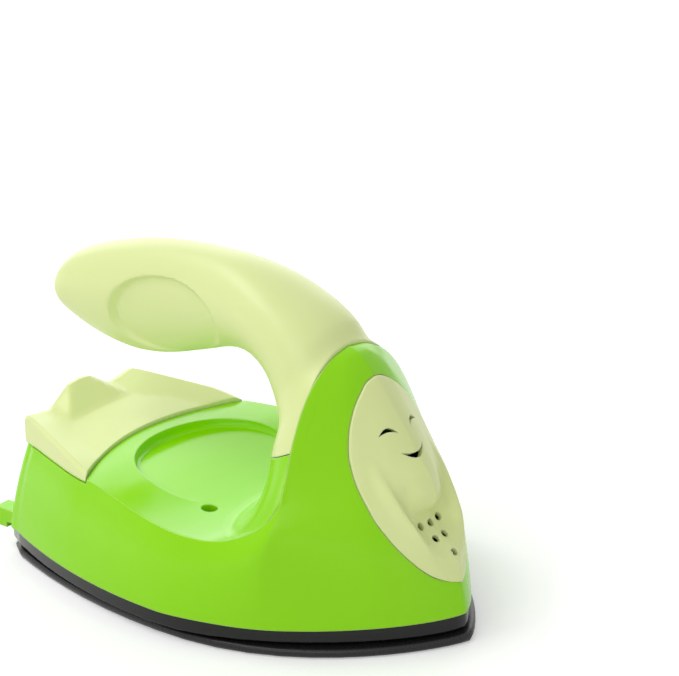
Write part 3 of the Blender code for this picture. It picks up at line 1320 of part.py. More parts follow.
def build_thermostat():
    """Disc thermostat with two blade tabs."""
    base_top = THERMOSTAT_LOW + THERMOSTAT_BASE
    profile = [(THERMOSTAT_RADIUS, THERMOSTAT_LOW), (THERMOSTAT_RADIUS, base_top),
               (THERMOSTAT_BODY_RADIUS, base_top),
               (THERMOSTAT_BODY_RADIUS, TAB_LOW)]
    body = turned("thermostat", profile, (0.0, THERMOSTAT_Y, 0.0))
    for side in (-1, 1):
        x = side * TAB_X
        add(body, box("tool", (x - TAB_HALF[0], THERMOSTAT_Y - TAB_HALF[1], TAB_LOW - TAB_HEIGHT),
                      (x + TAB_HALF[0], THERMOSTAT_Y + TAB_HALF[1], TAB_TOP)))
    return finish_object(body, "white_ceramic")


def build_fuse():
    """Thermal fuse with its two straight leads, along the clamp plate."""
    profile = [(FUSE_LEAD_RADIUS, -FUSE_LEAD_HALF), (FUSE_LEAD_RADIUS, -FUSE_HALF),
               (FUSE_RADIUS, -FUSE_HALF),
               (FUSE_RADIUS, FUSE_HALF), (FUSE_LEAD_RADIUS, FUSE_HALF),
               (FUSE_LEAD_RADIUS, FUSE_LEAD_HALF)]
    centre = (float(across(FUSE_X_share)), float(along(FUSE_Y_share)),
              CLAMP_LOW + CLAMP_THICK + GAP + FUSE_RADIUS)
    return turned("thermal_fuse", profile, centre, "steel", "Y", SMALL_COUNT)


def build_block():
    """Terminal block on the shield, bored for two leads and two screws."""
    x, y = BLOCK_HALF
    block = box("terminal_block", (-x, BLOCK_Y - y, BLOCK_LOW), (x, BLOCK_Y + y, BLOCK_TOP))
    for side in (-1, 1):
        bore_x = side * BLOCK_BORE_X
        drill(block, BLOCK_BORE_RADIUS, (bore_x, BLOCK_Y, BLOCK_BORE_Z), -y - CUT_PAST, y + CUT_PAST,
              "Y", SMALL_COUNT)
        drill(block, BLOCK_SCREW_RADIUS + GAP, (bore_x, BLOCK_Y, 0.0), BLOCK_BORE_Z,
              BLOCK_TOP + CUT_PAST, "Z",
              SMALL_COUNT)
    return finish_object(block, "grey_plastic")


def build_block_screws():
    """Two clamping screws of the terminal block."""
    items = []
    for side in (-1, 1):
        seat = BLOCK_TOP + GAP
        items.append(screw("item", (side * BLOCK_BORE_X, BLOCK_Y, 0.0), BLOCK_BORE_Z + BLOCK_BORE_RADIUS,
                           seat,
                           seat + BLOCK_SCREW_RADIUS, BLOCK_SCREW_RADIUS, BLOCK_SCREW_HEAD))
    name_each("terminal_screw", items, "steel")


def build_leads():
    """Two insulated leads from the terminal block down to the thermostat tabs."""
    items = []
    for side in (-1, 1):
        front = BLOCK_Y - BLOCK_HALF[1] - GAP
        low = TAB_TOP + GAP + LEAD_RADIUS
        places = [(side * BLOCK_BORE_X, front, BLOCK_BORE_Z),
                  (side * BLOCK_BORE_X, front - LEAD_RADIUS, BLOCK_BORE_Z),
                  (side * BLOCK_BORE_X, front - LEAD_SWING * 0.6, BLOCK_BORE_Z - LEAD_RADIUS),
                  (side * (BLOCK_BORE_X + TAB_X) / 2, front - LEAD_SWING, (BLOCK_BORE_Z + low) / 2),
                  (side * TAB_X, THERMOSTAT_Y, low + LEAD_RADIUS), (side * TAB_X, THERMOSTAT_Y, low)]
        items.append(tube(places, LEAD_RADIUS))
    name_each("lead_wire", items, "lead_sleeve")


def tube(places, radius):
    """Round tube along a smooth line through the given places."""
    fine = []
    points = [np.array(p, float) for p in places]
    points = [2 * points[0] - points[1]] + points + [2 * points[-1] - points[-2]]
    for i in range(1, len(points) - 2):
        p0, p1, p2, p3 = points[i - 1:i + 3]
        for step in range(4):
            t = step / 4
            fine.append(0.5 * (2 * p1 + (p2 - p0) * t + (2 * p0 - 5 * p1 + 4 * p2 - p3) * t ** 2
                               + (3 * p1 - p0 - 3 * p2 + p3) * t ** 3))
    fine.append(points[-2])
    reference = np.array([1.0, 0.0, 0.0])
    loops = []
    for i, point in enumerate(fine):
        tangent = fine[min(i + 1, len(fine) - 1)] - fine[max(i - 1, 0)]
        tangent /= np.linalg.norm(tangent)
        normal = reference - tangent * float(np.dot(reference, tangent))
        normal /= np.linalg.norm(normal)
        side = np.cross(tangent, normal)
        loops.append([tuple(point + normal * u + side * v) for u, v in circle(radius, 8)])
    return loft("tube", loops)


def build_cord_clamp():
    """Bar that holds the cord below the deck, and its two screws."""
    x, y = CLAMP_BAR_HALF
    high = CLAMP_BOSS_FOOT - GAP
    low = high - CLAMP_BAR_THICK
    bar = box("cord_clamp", (-x, CLAMP_Y - y, low), (x, CLAMP_Y + y, high))
    screws = []
    for px, py in CLAMP_POINTS:
        drill(bar, BORE, (px, py, 0.0), low - CUT_PAST, high + CUT_PAST, "Z", SMALL_COUNT)
        seat = low - GAP
        profile = [(CLAMP_HEAD_RADIUS, seat - CLAMP_HEAD_HEIGHT), (CLAMP_HEAD_RADIUS, seat),
                   (SCREW_RADIUS, seat),
                   (SCREW_RADIUS, SEAM_Z - 2 * GAP)]
        screws.append(turned("screw", profile, (px, py, 0.0), None, "Z", SMALL_COUNT))
    finish_object(bar, "grey_plastic")
    name_each("clamp_screw", screws, "steel")


def build_base_screws():
    """Two screws down the saddle wells and one in the front post."""
    items = []
    for x, y in BOSSES[:2]:
        seat = float(OUTER.saddle(x, y, SADDLE_SINK)) - WELL_DEPTH + GAP
        items.append(screw("item", (x, y, 0.0), SCREW_TIP, seat, seat + SCREW_HEAD_HEIGHT, SCREW_RADIUS,
                           WELL_RADIUS - GAP))
    name_each("saddle_screw", items, "steel")
    seat = FRONT_SEAT + GAP
    front = screw("front_screw", (0.0, FRONT_POST_Y, 0.0), SCREW_TIP, seat, seat + SCREW_HEAD_HEIGHT,
                  SCREW_RADIUS,
                  FRONT_HEAD_RADIUS)
    finish_object(front, "steel")


def build_handle_screws():
    """Two screws from inside the hood into the handle's foot."""
    items = []
    seat = HOOD_Y - SHELL_WALL - GAP
    for z in HANDLE_SCREWS_Z:
        profile = [(HANDLE_HEAD_RADIUS, seat - HANDLE_HEAD_HEIGHT), (HANDLE_HEAD_RADIUS, seat),
                   (HANDLE_SCREW_RADIUS, seat), (HANDLE_SCREW_RADIUS, HOOD_Y + HANDLE_SCREW_LENGTH)]
        items.append(turned("screw", profile, (0.0, 0.0, z), None, "Y", SMALL_COUNT))
    name_each("handle_screw", items, "steel")


def build_cover_screws():
    """Two screws from below the deck up into the cover's posts."""
    items = []
    seat = DECK_UNDER - GAP
    for x, y in COVER_SCREWS:
        profile = [(COVER_HEAD_RADIUS, seat - COVER_HEAD_HEIGHT), (COVER_HEAD_RADIUS, seat),
                   (SCREW_RADIUS, seat),
                   (SCREW_RADIUS, SEAM_Z + COVER_SCREW_LENGTH)]
        items.append(turned("screw", profile, (x, y, 0.0), None, "Z", SMALL_COUNT))
    name_each("cover_screw", items, "steel")


def main():
    clear_scene()
    build_soleplate()
    build_ring()
    build_shell()
    build_handle()
    build_face()
    build_cover()
    build_bush()
    stack_sheet("mica_lower", MICA_LOW, MICA_THICK, MICA_MARGIN, "mica")
    stack_sheet("heater_plate", HEATER_LOW, HEATER_THICK, 0.0, "heater_foil")
    stack_sheet("mica_upper", MICA_TOP_LOW, MICA_THICK, MICA_MARGIN, "mica")
    stack_sheet("clamp_plate", CLAMP_LOW, CLAMP_THICK, 0.0, "steel")
    build_nuts()
    build_shield()
    build_pins()
    build_thermostat()
    build_fuse()
    build_block()
    build_block_screws()
    build_leads()
    build_cord_clamp()
    build_base_screws()
    build_handle_screws()
    build_cover_screws()


main()
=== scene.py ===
"""Looks of the mini craft iron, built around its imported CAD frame."""
import json
import math

import bmesh
import bpy
import numpy as np
from mathutils import Matrix, Vector


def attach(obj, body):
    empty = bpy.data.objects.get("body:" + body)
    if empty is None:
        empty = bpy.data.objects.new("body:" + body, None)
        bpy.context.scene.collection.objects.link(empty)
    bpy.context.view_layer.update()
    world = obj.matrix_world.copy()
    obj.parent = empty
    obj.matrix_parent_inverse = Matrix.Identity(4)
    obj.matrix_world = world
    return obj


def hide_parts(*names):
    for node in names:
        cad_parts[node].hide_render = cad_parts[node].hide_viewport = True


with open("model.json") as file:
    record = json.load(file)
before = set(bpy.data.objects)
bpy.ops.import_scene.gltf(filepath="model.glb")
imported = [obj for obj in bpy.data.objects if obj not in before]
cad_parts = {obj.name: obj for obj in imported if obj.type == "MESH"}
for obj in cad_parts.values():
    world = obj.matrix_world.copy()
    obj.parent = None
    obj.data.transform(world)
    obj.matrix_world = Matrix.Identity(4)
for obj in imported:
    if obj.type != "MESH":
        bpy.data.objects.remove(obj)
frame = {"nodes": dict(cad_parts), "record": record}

bl_info = {
    "name": "Mini Craft Iron",
    "version": (1, 0, 0),
    "blender": (4, 5, 0),
    "location": "3D View > Sidebar > Craft Iron",
    "description": "Dresses the mini craft iron's frame in its moulded and cast finishes",
    "category": "Object",
}

MM = 0.001


def linear(code):
    """Linear RGB of an sRGB hex colour."""
    parts = [int(code[i:i + 2], 16) / 255 for i in (1, 3, 5)]
    return tuple(c / 12.92 if c <= 0.04045 else ((c + 0.055) / 1.055) ** 2.4 for c in parts)


def colour_property(name, description, code):
    """Colour property with its default given as hex."""
    return bpy.props.FloatVectorProperty(name=name, description=description, subtype="COLOR", size=3, min=0.0,
                                         max=1.0, default=linear(code))


def length_property(name, description, millimetres):
    """Length property with its default given in millimetres."""
    return bpy.props.FloatProperty(name=name, description=description, unit="LENGTH", subtype="DISTANCE", min=0.0,
                                   precision=5, default=millimetres * MM)


class IronFinishSettings(bpy.types.PropertyGroup):
    """Colours of the visible mouldings and castings."""

    shell_green: colour_property("Housing", "Bright green of the housing", "#95E200")
    pale_green: colour_property("Handle and covers", "Pale green of the handle, face plate and cover", "#E4EFA8")
    ring_black: colour_property("Skirt ring", "Black of the skirt ring", "#060607")
    sole_black: colour_property("Soleplate", "Dark coat of the soleplate", "#1F1E1F")
    edge_radius: length_property("Edge radius", "Soft radius on the mouldings' edges", 0.5)


class IronShapeSettings(bpy.types.PropertyGroup):
    """Sizes of the handle's thumb dimples."""

    dimple_length: length_property("Dimple length", "Length of the oval dimple on each side of the handle", 32.0)
    dimple_height: length_property("Dimple height", "Height of the oval dimple", 19.2)
    dimple_depth: length_property("Dimple depth", "Depth of the dimple's floor", 1.5)


class IronStageSettings(bpy.types.PropertyGroup):
    """Camera and light."""

    lens: bpy.props.FloatProperty(name="Lens", description="Focal length of the camera", unit="CAMERA",
                                  min=20.0, default=125.97)
    top_light: bpy.props.FloatProperty(name="Top light", description="Power of the softbox overhead",
                                       unit="POWER", min=0.0, default=2.3)
    back_light: bpy.props.FloatProperty(name="Back light", description="Power of the softbox behind the iron",
                                        unit="POWER", min=0.0, default=5.0)
    side_light: bpy.props.FloatProperty(name="Side light", description="Power of the softbox at the front left",
                                        unit="POWER", min=0.0, default=2.5)
    edge_light: bpy.props.FloatProperty(name="Edge light", description="Power of the strip that draws the edges",
                                        unit="POWER", min=0.0, default=0.9)
    room_light: bpy.props.FloatProperty(name="Room light", description="Strength of the even light all round",
                                        min=0.0, default=0.5)
    floor_colour: colour_property("Floor", "Pale floor under the iron", "#EEEEEE")


def add_node(tree, kind, settings=None, **links):
    """One shader node, with socket values or node settings, and its linked inputs."""
    node = tree.nodes.new(kind)
    for key, value in (settings or {}).items():
        if key in node.inputs:
            node.inputs[key].default_value = value
        else:
            setattr(node, key, value)
    for key, source in links.items():
        tree.links.new(source, node.inputs[key.replace("_", " ")])
    return node


# Finishes by record slot: real material, hex colour, its shaded partner, roughness, metallic, IOR, then in
# millimetres the grain size, bump height and edge radius, and last the lighter colour of the painted highlight on
# rounded edges, which on the soleplate also stands for the coat rubbed to bare aluminium
FINISHES = {
    # ABS plastic from a polished mould: saturated, glossy, with the faint waviness of a moulded skin
    "shell_green": ("Moulded ABS gloss", "#95E200", "#8FDD00", 0.2, 0.0, 1.34, 2.4, 0.006, 0.5, "#D3F58E"),
    # the same plastic in a pale tint, a little softer in its sheen
    "pale_green": ("Moulded ABS satin", "#E4EFA8", "#E0EBA0", 0.36, 0.0, 1.45, 1.8, 0.006, 0.5, "#F4F9D8"),
    # glass-filled phenolic, which stands the heat: near black and shiny
    "ring_black": ("Moulded phenolic gloss", "#060607", "#0A090B", 0.1, 0.0, 1.4, 1.5, 0.003, 0.35, "#4A4A4E"),
    # sprayed non-stick coat on cast aluminium: dark and matt with a fine grain
    "sole_black": ("Cast aluminium with PTFE coat", "#1F1E1F", "#272627", 0.28, 0.0, 1.38, 0.6, 0.006, 0.5,
                   "#D4D6D8"),
    # bright zinc on steel fasteners
    "steel": ("Zinc plated steel", "#B9BBBD", "#A4A6A8", 0.32, 1.0, 1.45, 0.8, 0.008, 0.12, "#B9BBBD"),
    # split mica sheet: brown, flaky, half shiny
    "mica": ("Mica sheet", "#B5A27C", "#9D8A66", 0.45, 0.0, 1.58, 3.0, 0.02, 0.05, "#B5A27C"),
    # mica card wound with ribbon
    "heater_foil": ("Mica card with heating ribbon", "#A89472", "#7F7058", 0.5, 0.0, 1.58, 2.0, 0.05, 0.05,
                    "#A89472"),
    # unglazed steatite
    "white_ceramic": ("Steatite ceramic", "#E3E0D8", "#D5D1C7", 0.5, 0.0, 1.6, 0.5, 0.02, 0.2, "#E3E0D8"),
    # soft dull rubber
    "black_rubber": ("EPDM rubber", "#1A1A1B", "#222223", 0.7, 0.0, 1.5, 0.4, 0.02, 0.2, "#1A1A1B"),
    # silicone tube over the leads
    "lead_sleeve": ("Silicone sleeve", "#DCD6C8", "#CFC8B8", 0.6, 0.0, 1.41, 0.5, 0.02, 0.05, "#DCD6C8"),
    # dark nylon of the cord clamp
    "grey_plastic": ("Moulded polyamide", "#45464A", "#3C3D41", 0.5, 0.0, 1.53, 0.4, 0.02, 0.2, "#45464A"),
}

# Size in millimetres of the broad clouding of a moulding, swing of the roughness either way, and how far a
# rounded edge's normal turns, as a cosine, where the painted edge highlight starts and where it is full
CLOUD_SIZE = 25.0
ROUGHNESS_SWING = 0.03
HIGHLIGHT_START, HIGHLIGHT_FULL = 0.93, 0.76


def make_finish(slot_name):
    """Procedural material of one record slot."""
    title, main, partner, roughness, metallic, ior, grain, bump, edge, edge_highlight = FINISHES[slot_name]
    material = bpy.data.materials.get(title)
    if material:
        return material
    settings = bpy.context.scene.iron_finish
    colour = tuple(getattr(settings, slot_name, linear(main)))
    radius = edge * MM
    if slot_name in ("shell_green", "pale_green"):
        radius = settings.edge_radius
    material = bpy.data.materials.new(title)
    material.use_nodes = True
    tree = material.node_tree
    shader = tree.nodes["Principled BSDF"]
    place = add_node(tree, "ShaderNodeTexCoord")
    fine = add_node(tree, "ShaderNodeTexNoise", {"Scale": 1 / (grain * MM), "Detail": 2.0, "Roughness": 0.5},
                    Vector=place.outputs["Object"])
    broad = add_node(tree, "ShaderNodeTexNoise", {"Scale": 1 / (CLOUD_SIZE * MM), "Detail": 2.0},
                     Vector=place.outputs["Object"])
    tint = add_node(tree, "ShaderNodeMix", {"data_type": "RGBA"})
    tree.links.new(broad.outputs["Fac"], tint.inputs["Factor"])
    tint.inputs[6].default_value = (*colour, 1.0)
    tint.inputs[7].default_value = (*linear(partner), 1.0)
    spread = add_node(tree, "ShaderNodeMapRange",
                      {"To Min": roughness - ROUGHNESS_SWING, "To Max": roughness + ROUGHNESS_SWING},
                      Value=fine.outputs["Fac"])
    rounded = add_node(tree, "ShaderNodeBevel", {"Radius": radius, "samples": 8})
    surface = add_node(tree, "ShaderNodeNewGeometry")
    bend = add_node(tree, "ShaderNodeVectorMath", {"operation": "DOT_PRODUCT"})
    tree.links.new(rounded.outputs["Normal"], bend.inputs[0])
    tree.links.new(surface.outputs["Normal"], bend.inputs[1])
    # painted highlight: a lighter colour is mixed in where the bevelled normal turns away from the true one, along
    # rounded edges and seams; on the soleplate it also stands for the coat rubbed to bare aluminium
    highlight_mask = add_node(tree, "ShaderNodeMapRange", {"From Min": HIGHLIGHT_START, "From Max": HIGHLIGHT_FULL},
                    Value=bend.outputs["Value"])
    highlighted = add_node(tree, "ShaderNodeMix", {"data_type": "RGBA"})
    tree.links.new(highlight_mask.outputs["Result"], highlighted.inputs[0])
    tree.links.new(tint.outputs[2], highlighted.inputs[6])
    highlighted.inputs[7].default_value = (*linear(edge_highlight), 1.0)
    relief = add_node(tree, "ShaderNodeBump", {"Strength": 1.0, "Distance": bump * MM},
                      Height=fine.outputs["Fac"], Normal=rounded.outputs["Normal"])
    shader.inputs["Metallic"].default_value = metallic
    shader.inputs["IOR"].default_value = ior
    tree.links.new(highlighted.outputs[2], shader.inputs["Base Color"])
    tree.links.new(spread.outputs["Result"], shader.inputs["Roughness"])
    tree.links.new(relief.outputs["Normal"], shader.inputs["Normal"])
    return material


def slot_of(node_name):
    """Record slot of a CAD node."""
    for entry in frame["record"]["subparts"]:
        if entry["node"] == node_name:
            return entry["material_slot"]
    raise ValueError(f"no sub-part named {node_name}")


def dress(node_name):
    """Give a CAD node that stays in view its procedural material."""
    node = frame["nodes"][node_name]
    node.data.materials.clear()
    node.data.materials.append(make_finish(slot_of(node_name)))


# Degrees between two faces from which their edge is drawn sharp
SHARP_ANGLE, COVER_SHARP_ANGLE, HANDLE_SHARP_ANGLE = 32, 16, 30


def new_piece(name, bm, slot_name, node_names, degrees=SHARP_ANGLE):
    """Turn a bmesh in metres into a finished piece that stands for its CAD nodes."""
    mesh = bpy.data.meshes.new(name)
    bm.to_mesh(mesh)
    bm.free()
    mesh.shade_smooth()
    mesh.set_sharp_from_angle(angle=math.radians(degrees))
    piece = bpy.data.objects.new(name, mesh)
    bpy.context.scene.collection.objects.link(piece)
    mesh.materials.append(make_finish(slot_name))
    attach(piece, "root")
    for node_name in node_names:
        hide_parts(node_name)
    return piece


# Copies of CAD nodes: merging distance in millimetres, and the degrees below which faces count as one flat
COPY_MERGE, COPY_FLATNESS = 0.002, 0.4


def even_shading(piece):
    """Let large faces lead the shading of a finished piece."""
    even = piece.modifiers.new("even shading", "WEIGHTED_NORMAL")
    even.mode = "FACE_AREA"
    even.weight = 100
    even.keep_sharp = True


def smooth_copy(node_name, piece_name, degrees):
    """Merged, smooth-shaded copy of a CAD node that stands for it."""
    bm = bmesh.new()
    bm.from_mesh(frame["nodes"][node_name].data)
    bmesh.ops.remove_doubles(bm, verts=bm.verts, dist=COPY_MERGE * MM)
    bmesh.ops.dissolve_limit(bm, angle_limit=math.radians(COPY_FLATNESS), verts=bm.verts, edges=bm.edges)
    even_shading(new_piece(piece_name, bm, slot_of(node_name), [node_name], degrees))


# Merging distance and shortest edge kept, in millimetres, on pieces that are built in millimetres
MERGE, SHORTEST_EDGE = 0.01, 0.005


def spline(pairs):
    """Monotone cubic through (x, y) pairs, as a function of x."""
    xs, ys = (np.array(values, float) for values in zip(*pairs))
    step = np.diff(xs)
    slope = np.diff(ys) / step
    tangent = np.zeros(len(xs))
    for i in range(1, len(xs) - 1):
        if slope[i - 1] * slope[i] > 0:
            before = 2 * step[i] + step[i - 1]
            after = step[i] + 2 * step[i - 1]
            tangent[i] = (before + after) / (before / slope[i - 1] + after / slope[i])
    tangent[0] = slope[0]
    tangent[-1] = slope[-1]

    def value(x):
        x = np.clip(np.asarray(x, float), xs[0], xs[-1])
        i = np.clip(np.searchsorted(xs, x) - 1, 0, len(xs) - 2)
        h = step[i]
        t = (x - xs[i]) / h
        return ((1 + 2 * t) * (1 - t) ** 2 * ys[i] + t * (1 - t) ** 2 * h * tangent[i]
                + t * t * (3 - 2 * t) * ys[i + 1] + t * t * (t - 1) * h * tangent[i + 1])
    return value


def soft_step(low, high, value):
    """Soft step from 0 to 1 between two values."""
    t = np.clip((np.asarray(value, float) - low) / (high - low), 0.0, 1.0)
    return t * t * (3 - 2 * t)


def resample(points, count):
    """Even points along an open line."""
    points = np.asarray(points, float)
    length = np.concatenate([[0.0], np.cumsum(np.linalg.norm(np.diff(points, axis=0), axis=1))])
    places = np.linspace(0.0, length[-1], count)
    return np.stack([np.interp(places, length, points[:, k]) for k in range(2)], axis=1)


def patch(bm, rows):
    """Grid of faces through equal rows of points."""
    verts = bmesh.ops.create_grid(bm, x_segments=len(rows[0]) - 1, y_segments=len(rows) - 1, size=1.0)["verts"]
    points = [point for row in rows for point in row]
    if len(points) != len(verts):
        raise RuntimeError("a grid came out with the wrong count of vertices")
    for vert, point in zip(verts, points):
        vert.co = point
    return verts


def ring_of(bm, points):
    """Ring of vertices through the given points; returns its edges."""
    verts = bmesh.ops.create_circle(bm, segments=len(points), radius=1.0)["verts"]
    for vert, point in zip(verts, points):
        vert.co = point
    return list(dict.fromkeys(edge for vert in verts for edge in vert.link_edges))


def loft(bm, loops):
    """Closed body bridged through closed loops of equal length."""
    rings = [ring_of(bm, loop) for loop in loops]
    for low, high in zip(rings, rings[1:]):
        bmesh.ops.bridge_loops(bm, edges=low + high)
    bmesh.ops.contextual_create(bm, geom=rings[0])
    bmesh.ops.contextual_create(bm, geom=rings[-1])


def prism(bm, outline, travel):
    """Closed prism on a flat outline."""
    face = bmesh.ops.contextual_create(bm, geom=ring_of(bm, outline))["faces"]
    grown = bmesh.ops.extrude_face_region(bm, geom=face, use_keep_orig=True)["geom"]
    bmesh.ops.translate(bm, verts=[item for item in grown if isinstance(item, bmesh.types.BMVert)], vec=travel)


def turned(bm, profile, centre, steps=32):
    """Closed body of revolution about an upright axis, from a closed profile of radius and height."""
    verts = [bm.verts.new((centre[0] + radius, centre[1], z)) for radius, z in profile]
    edges = [bm.edges.new((a, b)) for a, b in zip(verts, verts[1:] + verts[:1])]
    bmesh.ops.spin(bm, geom=verts + edges, cent=(*centre, 0.0), axis=(0.0, 0.0, 1.0), angle=math.tau,
                   steps=steps, use_merge=True)


def outward(bm):
    """Merge what coincides and turn all faces outwards."""
    bmesh.ops.remove_doubles(bm, verts=bm.verts, dist=MERGE)
    bmesh.ops.recalc_face_normals(bm, faces=bm.faces)


def carve(body, tool):
    """Cut one closed bmesh out of another; both are used up."""
    items = []
    for bm in (body, tool):
        outward(bm)
        mesh = bpy.data.meshes.new("blank")
        bm.to_mesh(mesh)
        bm.free()
        item = bpy.data.objects.new("blank", mesh)
        bpy.context.scene.collection.objects.link(item)
        items.append(item)
    cut = items[0].modifiers.new("cut", "BOOLEAN")
    cut.operation = "DIFFERENCE"
    cut.solver = "EXACT"
    cut.object = items[1]
    result = bmesh.new()
    result.from_object(items[0], bpy.context.evaluated_depsgraph_get())
    for item in items:
        mesh = item.data
        bpy.data.objects.remove(item)
        bpy.data.meshes.remove(mesh)
    return result


def absorb(bm, part):
    """Turn a closed part outwards and add it to a larger one."""
    outward(part)
    if part.calc_volume(signed=True) < 0:
        bmesh.ops.reverse_faces(part, faces=part.faces)
    mesh = bpy.data.meshes.new("part")
    part.to_mesh(mesh)
    part.free()
    bm.from_mesh(mesh)
    bpy.data.meshes.remove(mesh)


# Lower edge of the housing in plan, in millimetres with the toe at -Y: toe, heel, half width, heel half width,
# place of the widest point, power and roundness of the nose
EDGE_TOE, EDGE_HEEL, EDGE_HALF, EDGE_HEEL_HALF = -53.8, 56.25, 34.6, 22.3
EDGE_WIDEST, EDGE_POWER, EDGE_ROUNDNESS = 0.49, 1.66, 0.74
EDGE_Z = 6.2
EDGE_CORNER = 4.2
# Nose line in the middle plane: height and Y
NOSE_LINE = ((6.2, -53.8), (10.0, -53.4), (15.9, -52.2), (19.4, -51.2), (24.1, -49.4), (29.6, -46.9),
             (34.3, -44.6), (39.7, -41.6), (44.8, -38.7), (48.9, -36.2), (53.0, -33.5), (55.8, -31.2),
             (57.8, -29.0), (58.6, -26.8))
# Hood in its rear plane: height and half width
HOOD_Y = -26.6
HOOD_FOOT = 33.0
HOOD_TOP = 58.6
HOOD_LINE = ((6.2, 27.2), (15.0, 27.4), (22.0, 27.0), (27.0, 26.2), (30.0, 25.0), (33.0, 23.3), (38.0, 21.2),
             (42.0, 19.7), (46.0, 17.7), (50.0, 15.2), (53.7, 11.9), (56.2, 8.3), (57.9, 4.3), (58.6, 0.0))
# Plan section of the hood from the nose to its rear plane: share of depth and of half width
HOOD_SECTION = spline(((0.0, 0.0), (0.05, 0.12), (0.092, 0.196), (0.15, 0.296), (0.217, 0.386), (0.29, 0.475),
                       (0.34, 0.529), (0.45, 0.62), (0.6, 0.728), (0.77, 0.848), (0.9, 0.936), (1.0, 1.0)))
SECTION_FULL_Z = 22.0
# Rim of the body from the hood to the heel: Y, half width and height
RIM_LINE = ((-26.6, 23.3, 33.0), (-25.8, 24.7, 30.6), (-23.4, 26.1, 27.9), (-19.9, 27.2, 25.6),
            (-16.9, 28.2, 24.3), (-13.7, 29.1, 23.5), (-9.1, 30.0, 23.1), (-3.6, 30.5, 23.2), (2.6, 30.2, 23.7),
            (9.8, 29.1, 24.5), (17.7, 27.4, 25.2), (25.2, 25.6, 25.5), (29.9, 24.7, 25.3), (34.3, 23.5, 25.2),
            (38.2, 22.2, 25.2), (43.2, 20.5, 25.2), (47.5, 19.0, 25.2), (51.0, 17.9, 25.2), (54.05, 16.9, 25.2))
RIM_HALF = spline([(y, half) for y, half, z in RIM_LINE])
RIM_TOP = spline([(y, z) for y, half, z in RIM_LINE])
SIDE_BULGE = 0.8
HEEL_TOP_Y = 54.05
HEEL_TOP_CORNER = 2.6
# Saddle between the rims: hollow in front, crowned behind, from one Y to the other
SADDLE_SINK, SADDLE_CROWN = -1.8, 0.7
SADDLE_TURN = (2.0, 17.0)
WALL = 1.8
# Round recess in the saddle
RECESS_RADIUS, RECESS_Y = 18.2, 11.2
RECESS_RAISE, RECESS_RAISE_TURN, RECESS_FILLET = 0.05, (2.0, 6.0), 1.0
# Pedestal under the handle: depth at the seam, step in from the hood's edge, fillets at its rear and sides, power of
# its plan, share of the way to the rim that the side fillet may take, and how far its hidden front stands in
POST_DEPTH, POST_STEP, POST_FILLET, POST_SKIRT, POST_POWER = 11.9, 0.8, 12.0, 4.5, 2 / 2.8
POST_SKIRT_SHARE, POST_TUCK = 0.85, 1.0
POST_LEVELS, POST_POINTS = 20, 73
SEAM_FRONT_Z, SEAM_REAR_Z = 42.0, 36.3
# Seat of the rear cover, and the front of the hollow's low part under it
SEAT_Z, SEAT_ARC_Y, SEAT_ARC_RADIUS, LOW_HOLLOW_Y = 24.5, 33.9, 42.5, 22.4
# Reach of the cutting bodies to the sides, to the rear and upwards
TOOL_HALF, TOOL_REAR, TOOL_RISE = 36.0, 60.0, 36.0
# Screw wells in the saddle and the tubes below them
WELLS = ((16.2, -0.2), (-16.2, -0.2))
WELL_RADIUS, WELL_DEPTH, TUBE_RADIUS, TUBE_BORE, TUBE_FOOT, TUBE_SINK = 1.75, 8.0, 3.1, 1.3, 9.3, 0.2
# Where cutting bodies start before, and how far they run past, what they cut
OVERRUN, OPENING_LEAD, OPENING_OVERRUN, HOLE_LEAD, HOLE_RUN = 2.0, 5.0, 3.0, 1.0, 6.0
# Heel peg: inner X, width, then its profile in Y and Z
PEG_X, PEG_WIDTH = 18.7, 4.0
PEG_PROFILE = ((51.65, 6.5), (56.55, 6.5), (56.55, 5.2), (59.65, 5.2), (60.0, 5.55), (60.0, 9.25), (59.65, 9.6),
               (51.65, 9.6))
# Columns of the housing's grids: across half the heel, along the side, round the heel corner, up the side,
# round the nose, up the hood's rear
FINE = (30, 60, 8, 20, 36, 4)
COARSE = (8, 14, 4, 5, 10, 2)


def edge_half(y):
    """Half width of the housing's lower edge at a given Y."""
    t = np.clip((np.asarray(y, float) - EDGE_TOE) / (EDGE_HEEL - EDGE_TOE), 0.0, 1.0)
    ahead = np.clip((EDGE_WIDEST - t) / EDGE_WIDEST, 0.0, 1.0)
    front = EDGE_HALF * (1 - ahead ** EDGE_POWER) ** EDGE_ROUNDNESS
    behind = EDGE_HALF - (EDGE_HALF - EDGE_HEEL_HALF) * ((t - EDGE_WIDEST) / (1 - EDGE_WIDEST)) ** 2
    return np.where(t < EDGE_WIDEST, front, behind)


def edge_line(inset):
    """Lower edge from the heel's middle round to the toe, moved inwards."""
    y = EDGE_TOE + (EDGE_HEEL - EDGE_TOE) * np.linspace(0.0, 1.0, 400) ** 1.8
    side = resample(np.stack([edge_half(y), y], axis=1), 600)
    tangent = np.gradient(side, axis=0)
    tangent /= np.linalg.norm(tangent, axis=1)[:, None] + 1e-9
    side = side + np.stack([-tangent[:, 1], tangent[:, 0]], axis=1) * inset
    side = side[side[:, 0] > 0.0]
    back = EDGE_HEEL - inset
    radius = EDGE_CORNER - inset
    side = side[side[:, 1] < back - radius]
    angles = np.linspace(0.0, math.pi / 2, 12)
    turn = np.stack([side[-1, 0] - radius + radius * np.cos(angles), back - radius + radius * np.sin(angles)],
                    axis=1)
    return resample(np.vstack([side, turn, [[0.0, back]]]), 1400)[::-1]


def moved_line(pairs, amount):
    """A line of height and value moved sideways, ready for np.interp."""
    heights = np.linspace(pairs[0][0], pairs[-1][0], 240)
    points = np.stack([spline(pairs)(heights), heights], axis=1)
    tangent = np.gradient(points, axis=0)
    tangent /= np.linalg.norm(tangent, axis=1)[:, None] + 1e-9
    moved = points + np.stack([tangent[:, 1], -tangent[:, 0]], axis=1) * amount
    moved = moved[np.argsort(moved[:, 1])]
    return moved[:, 1], moved[:, 0]


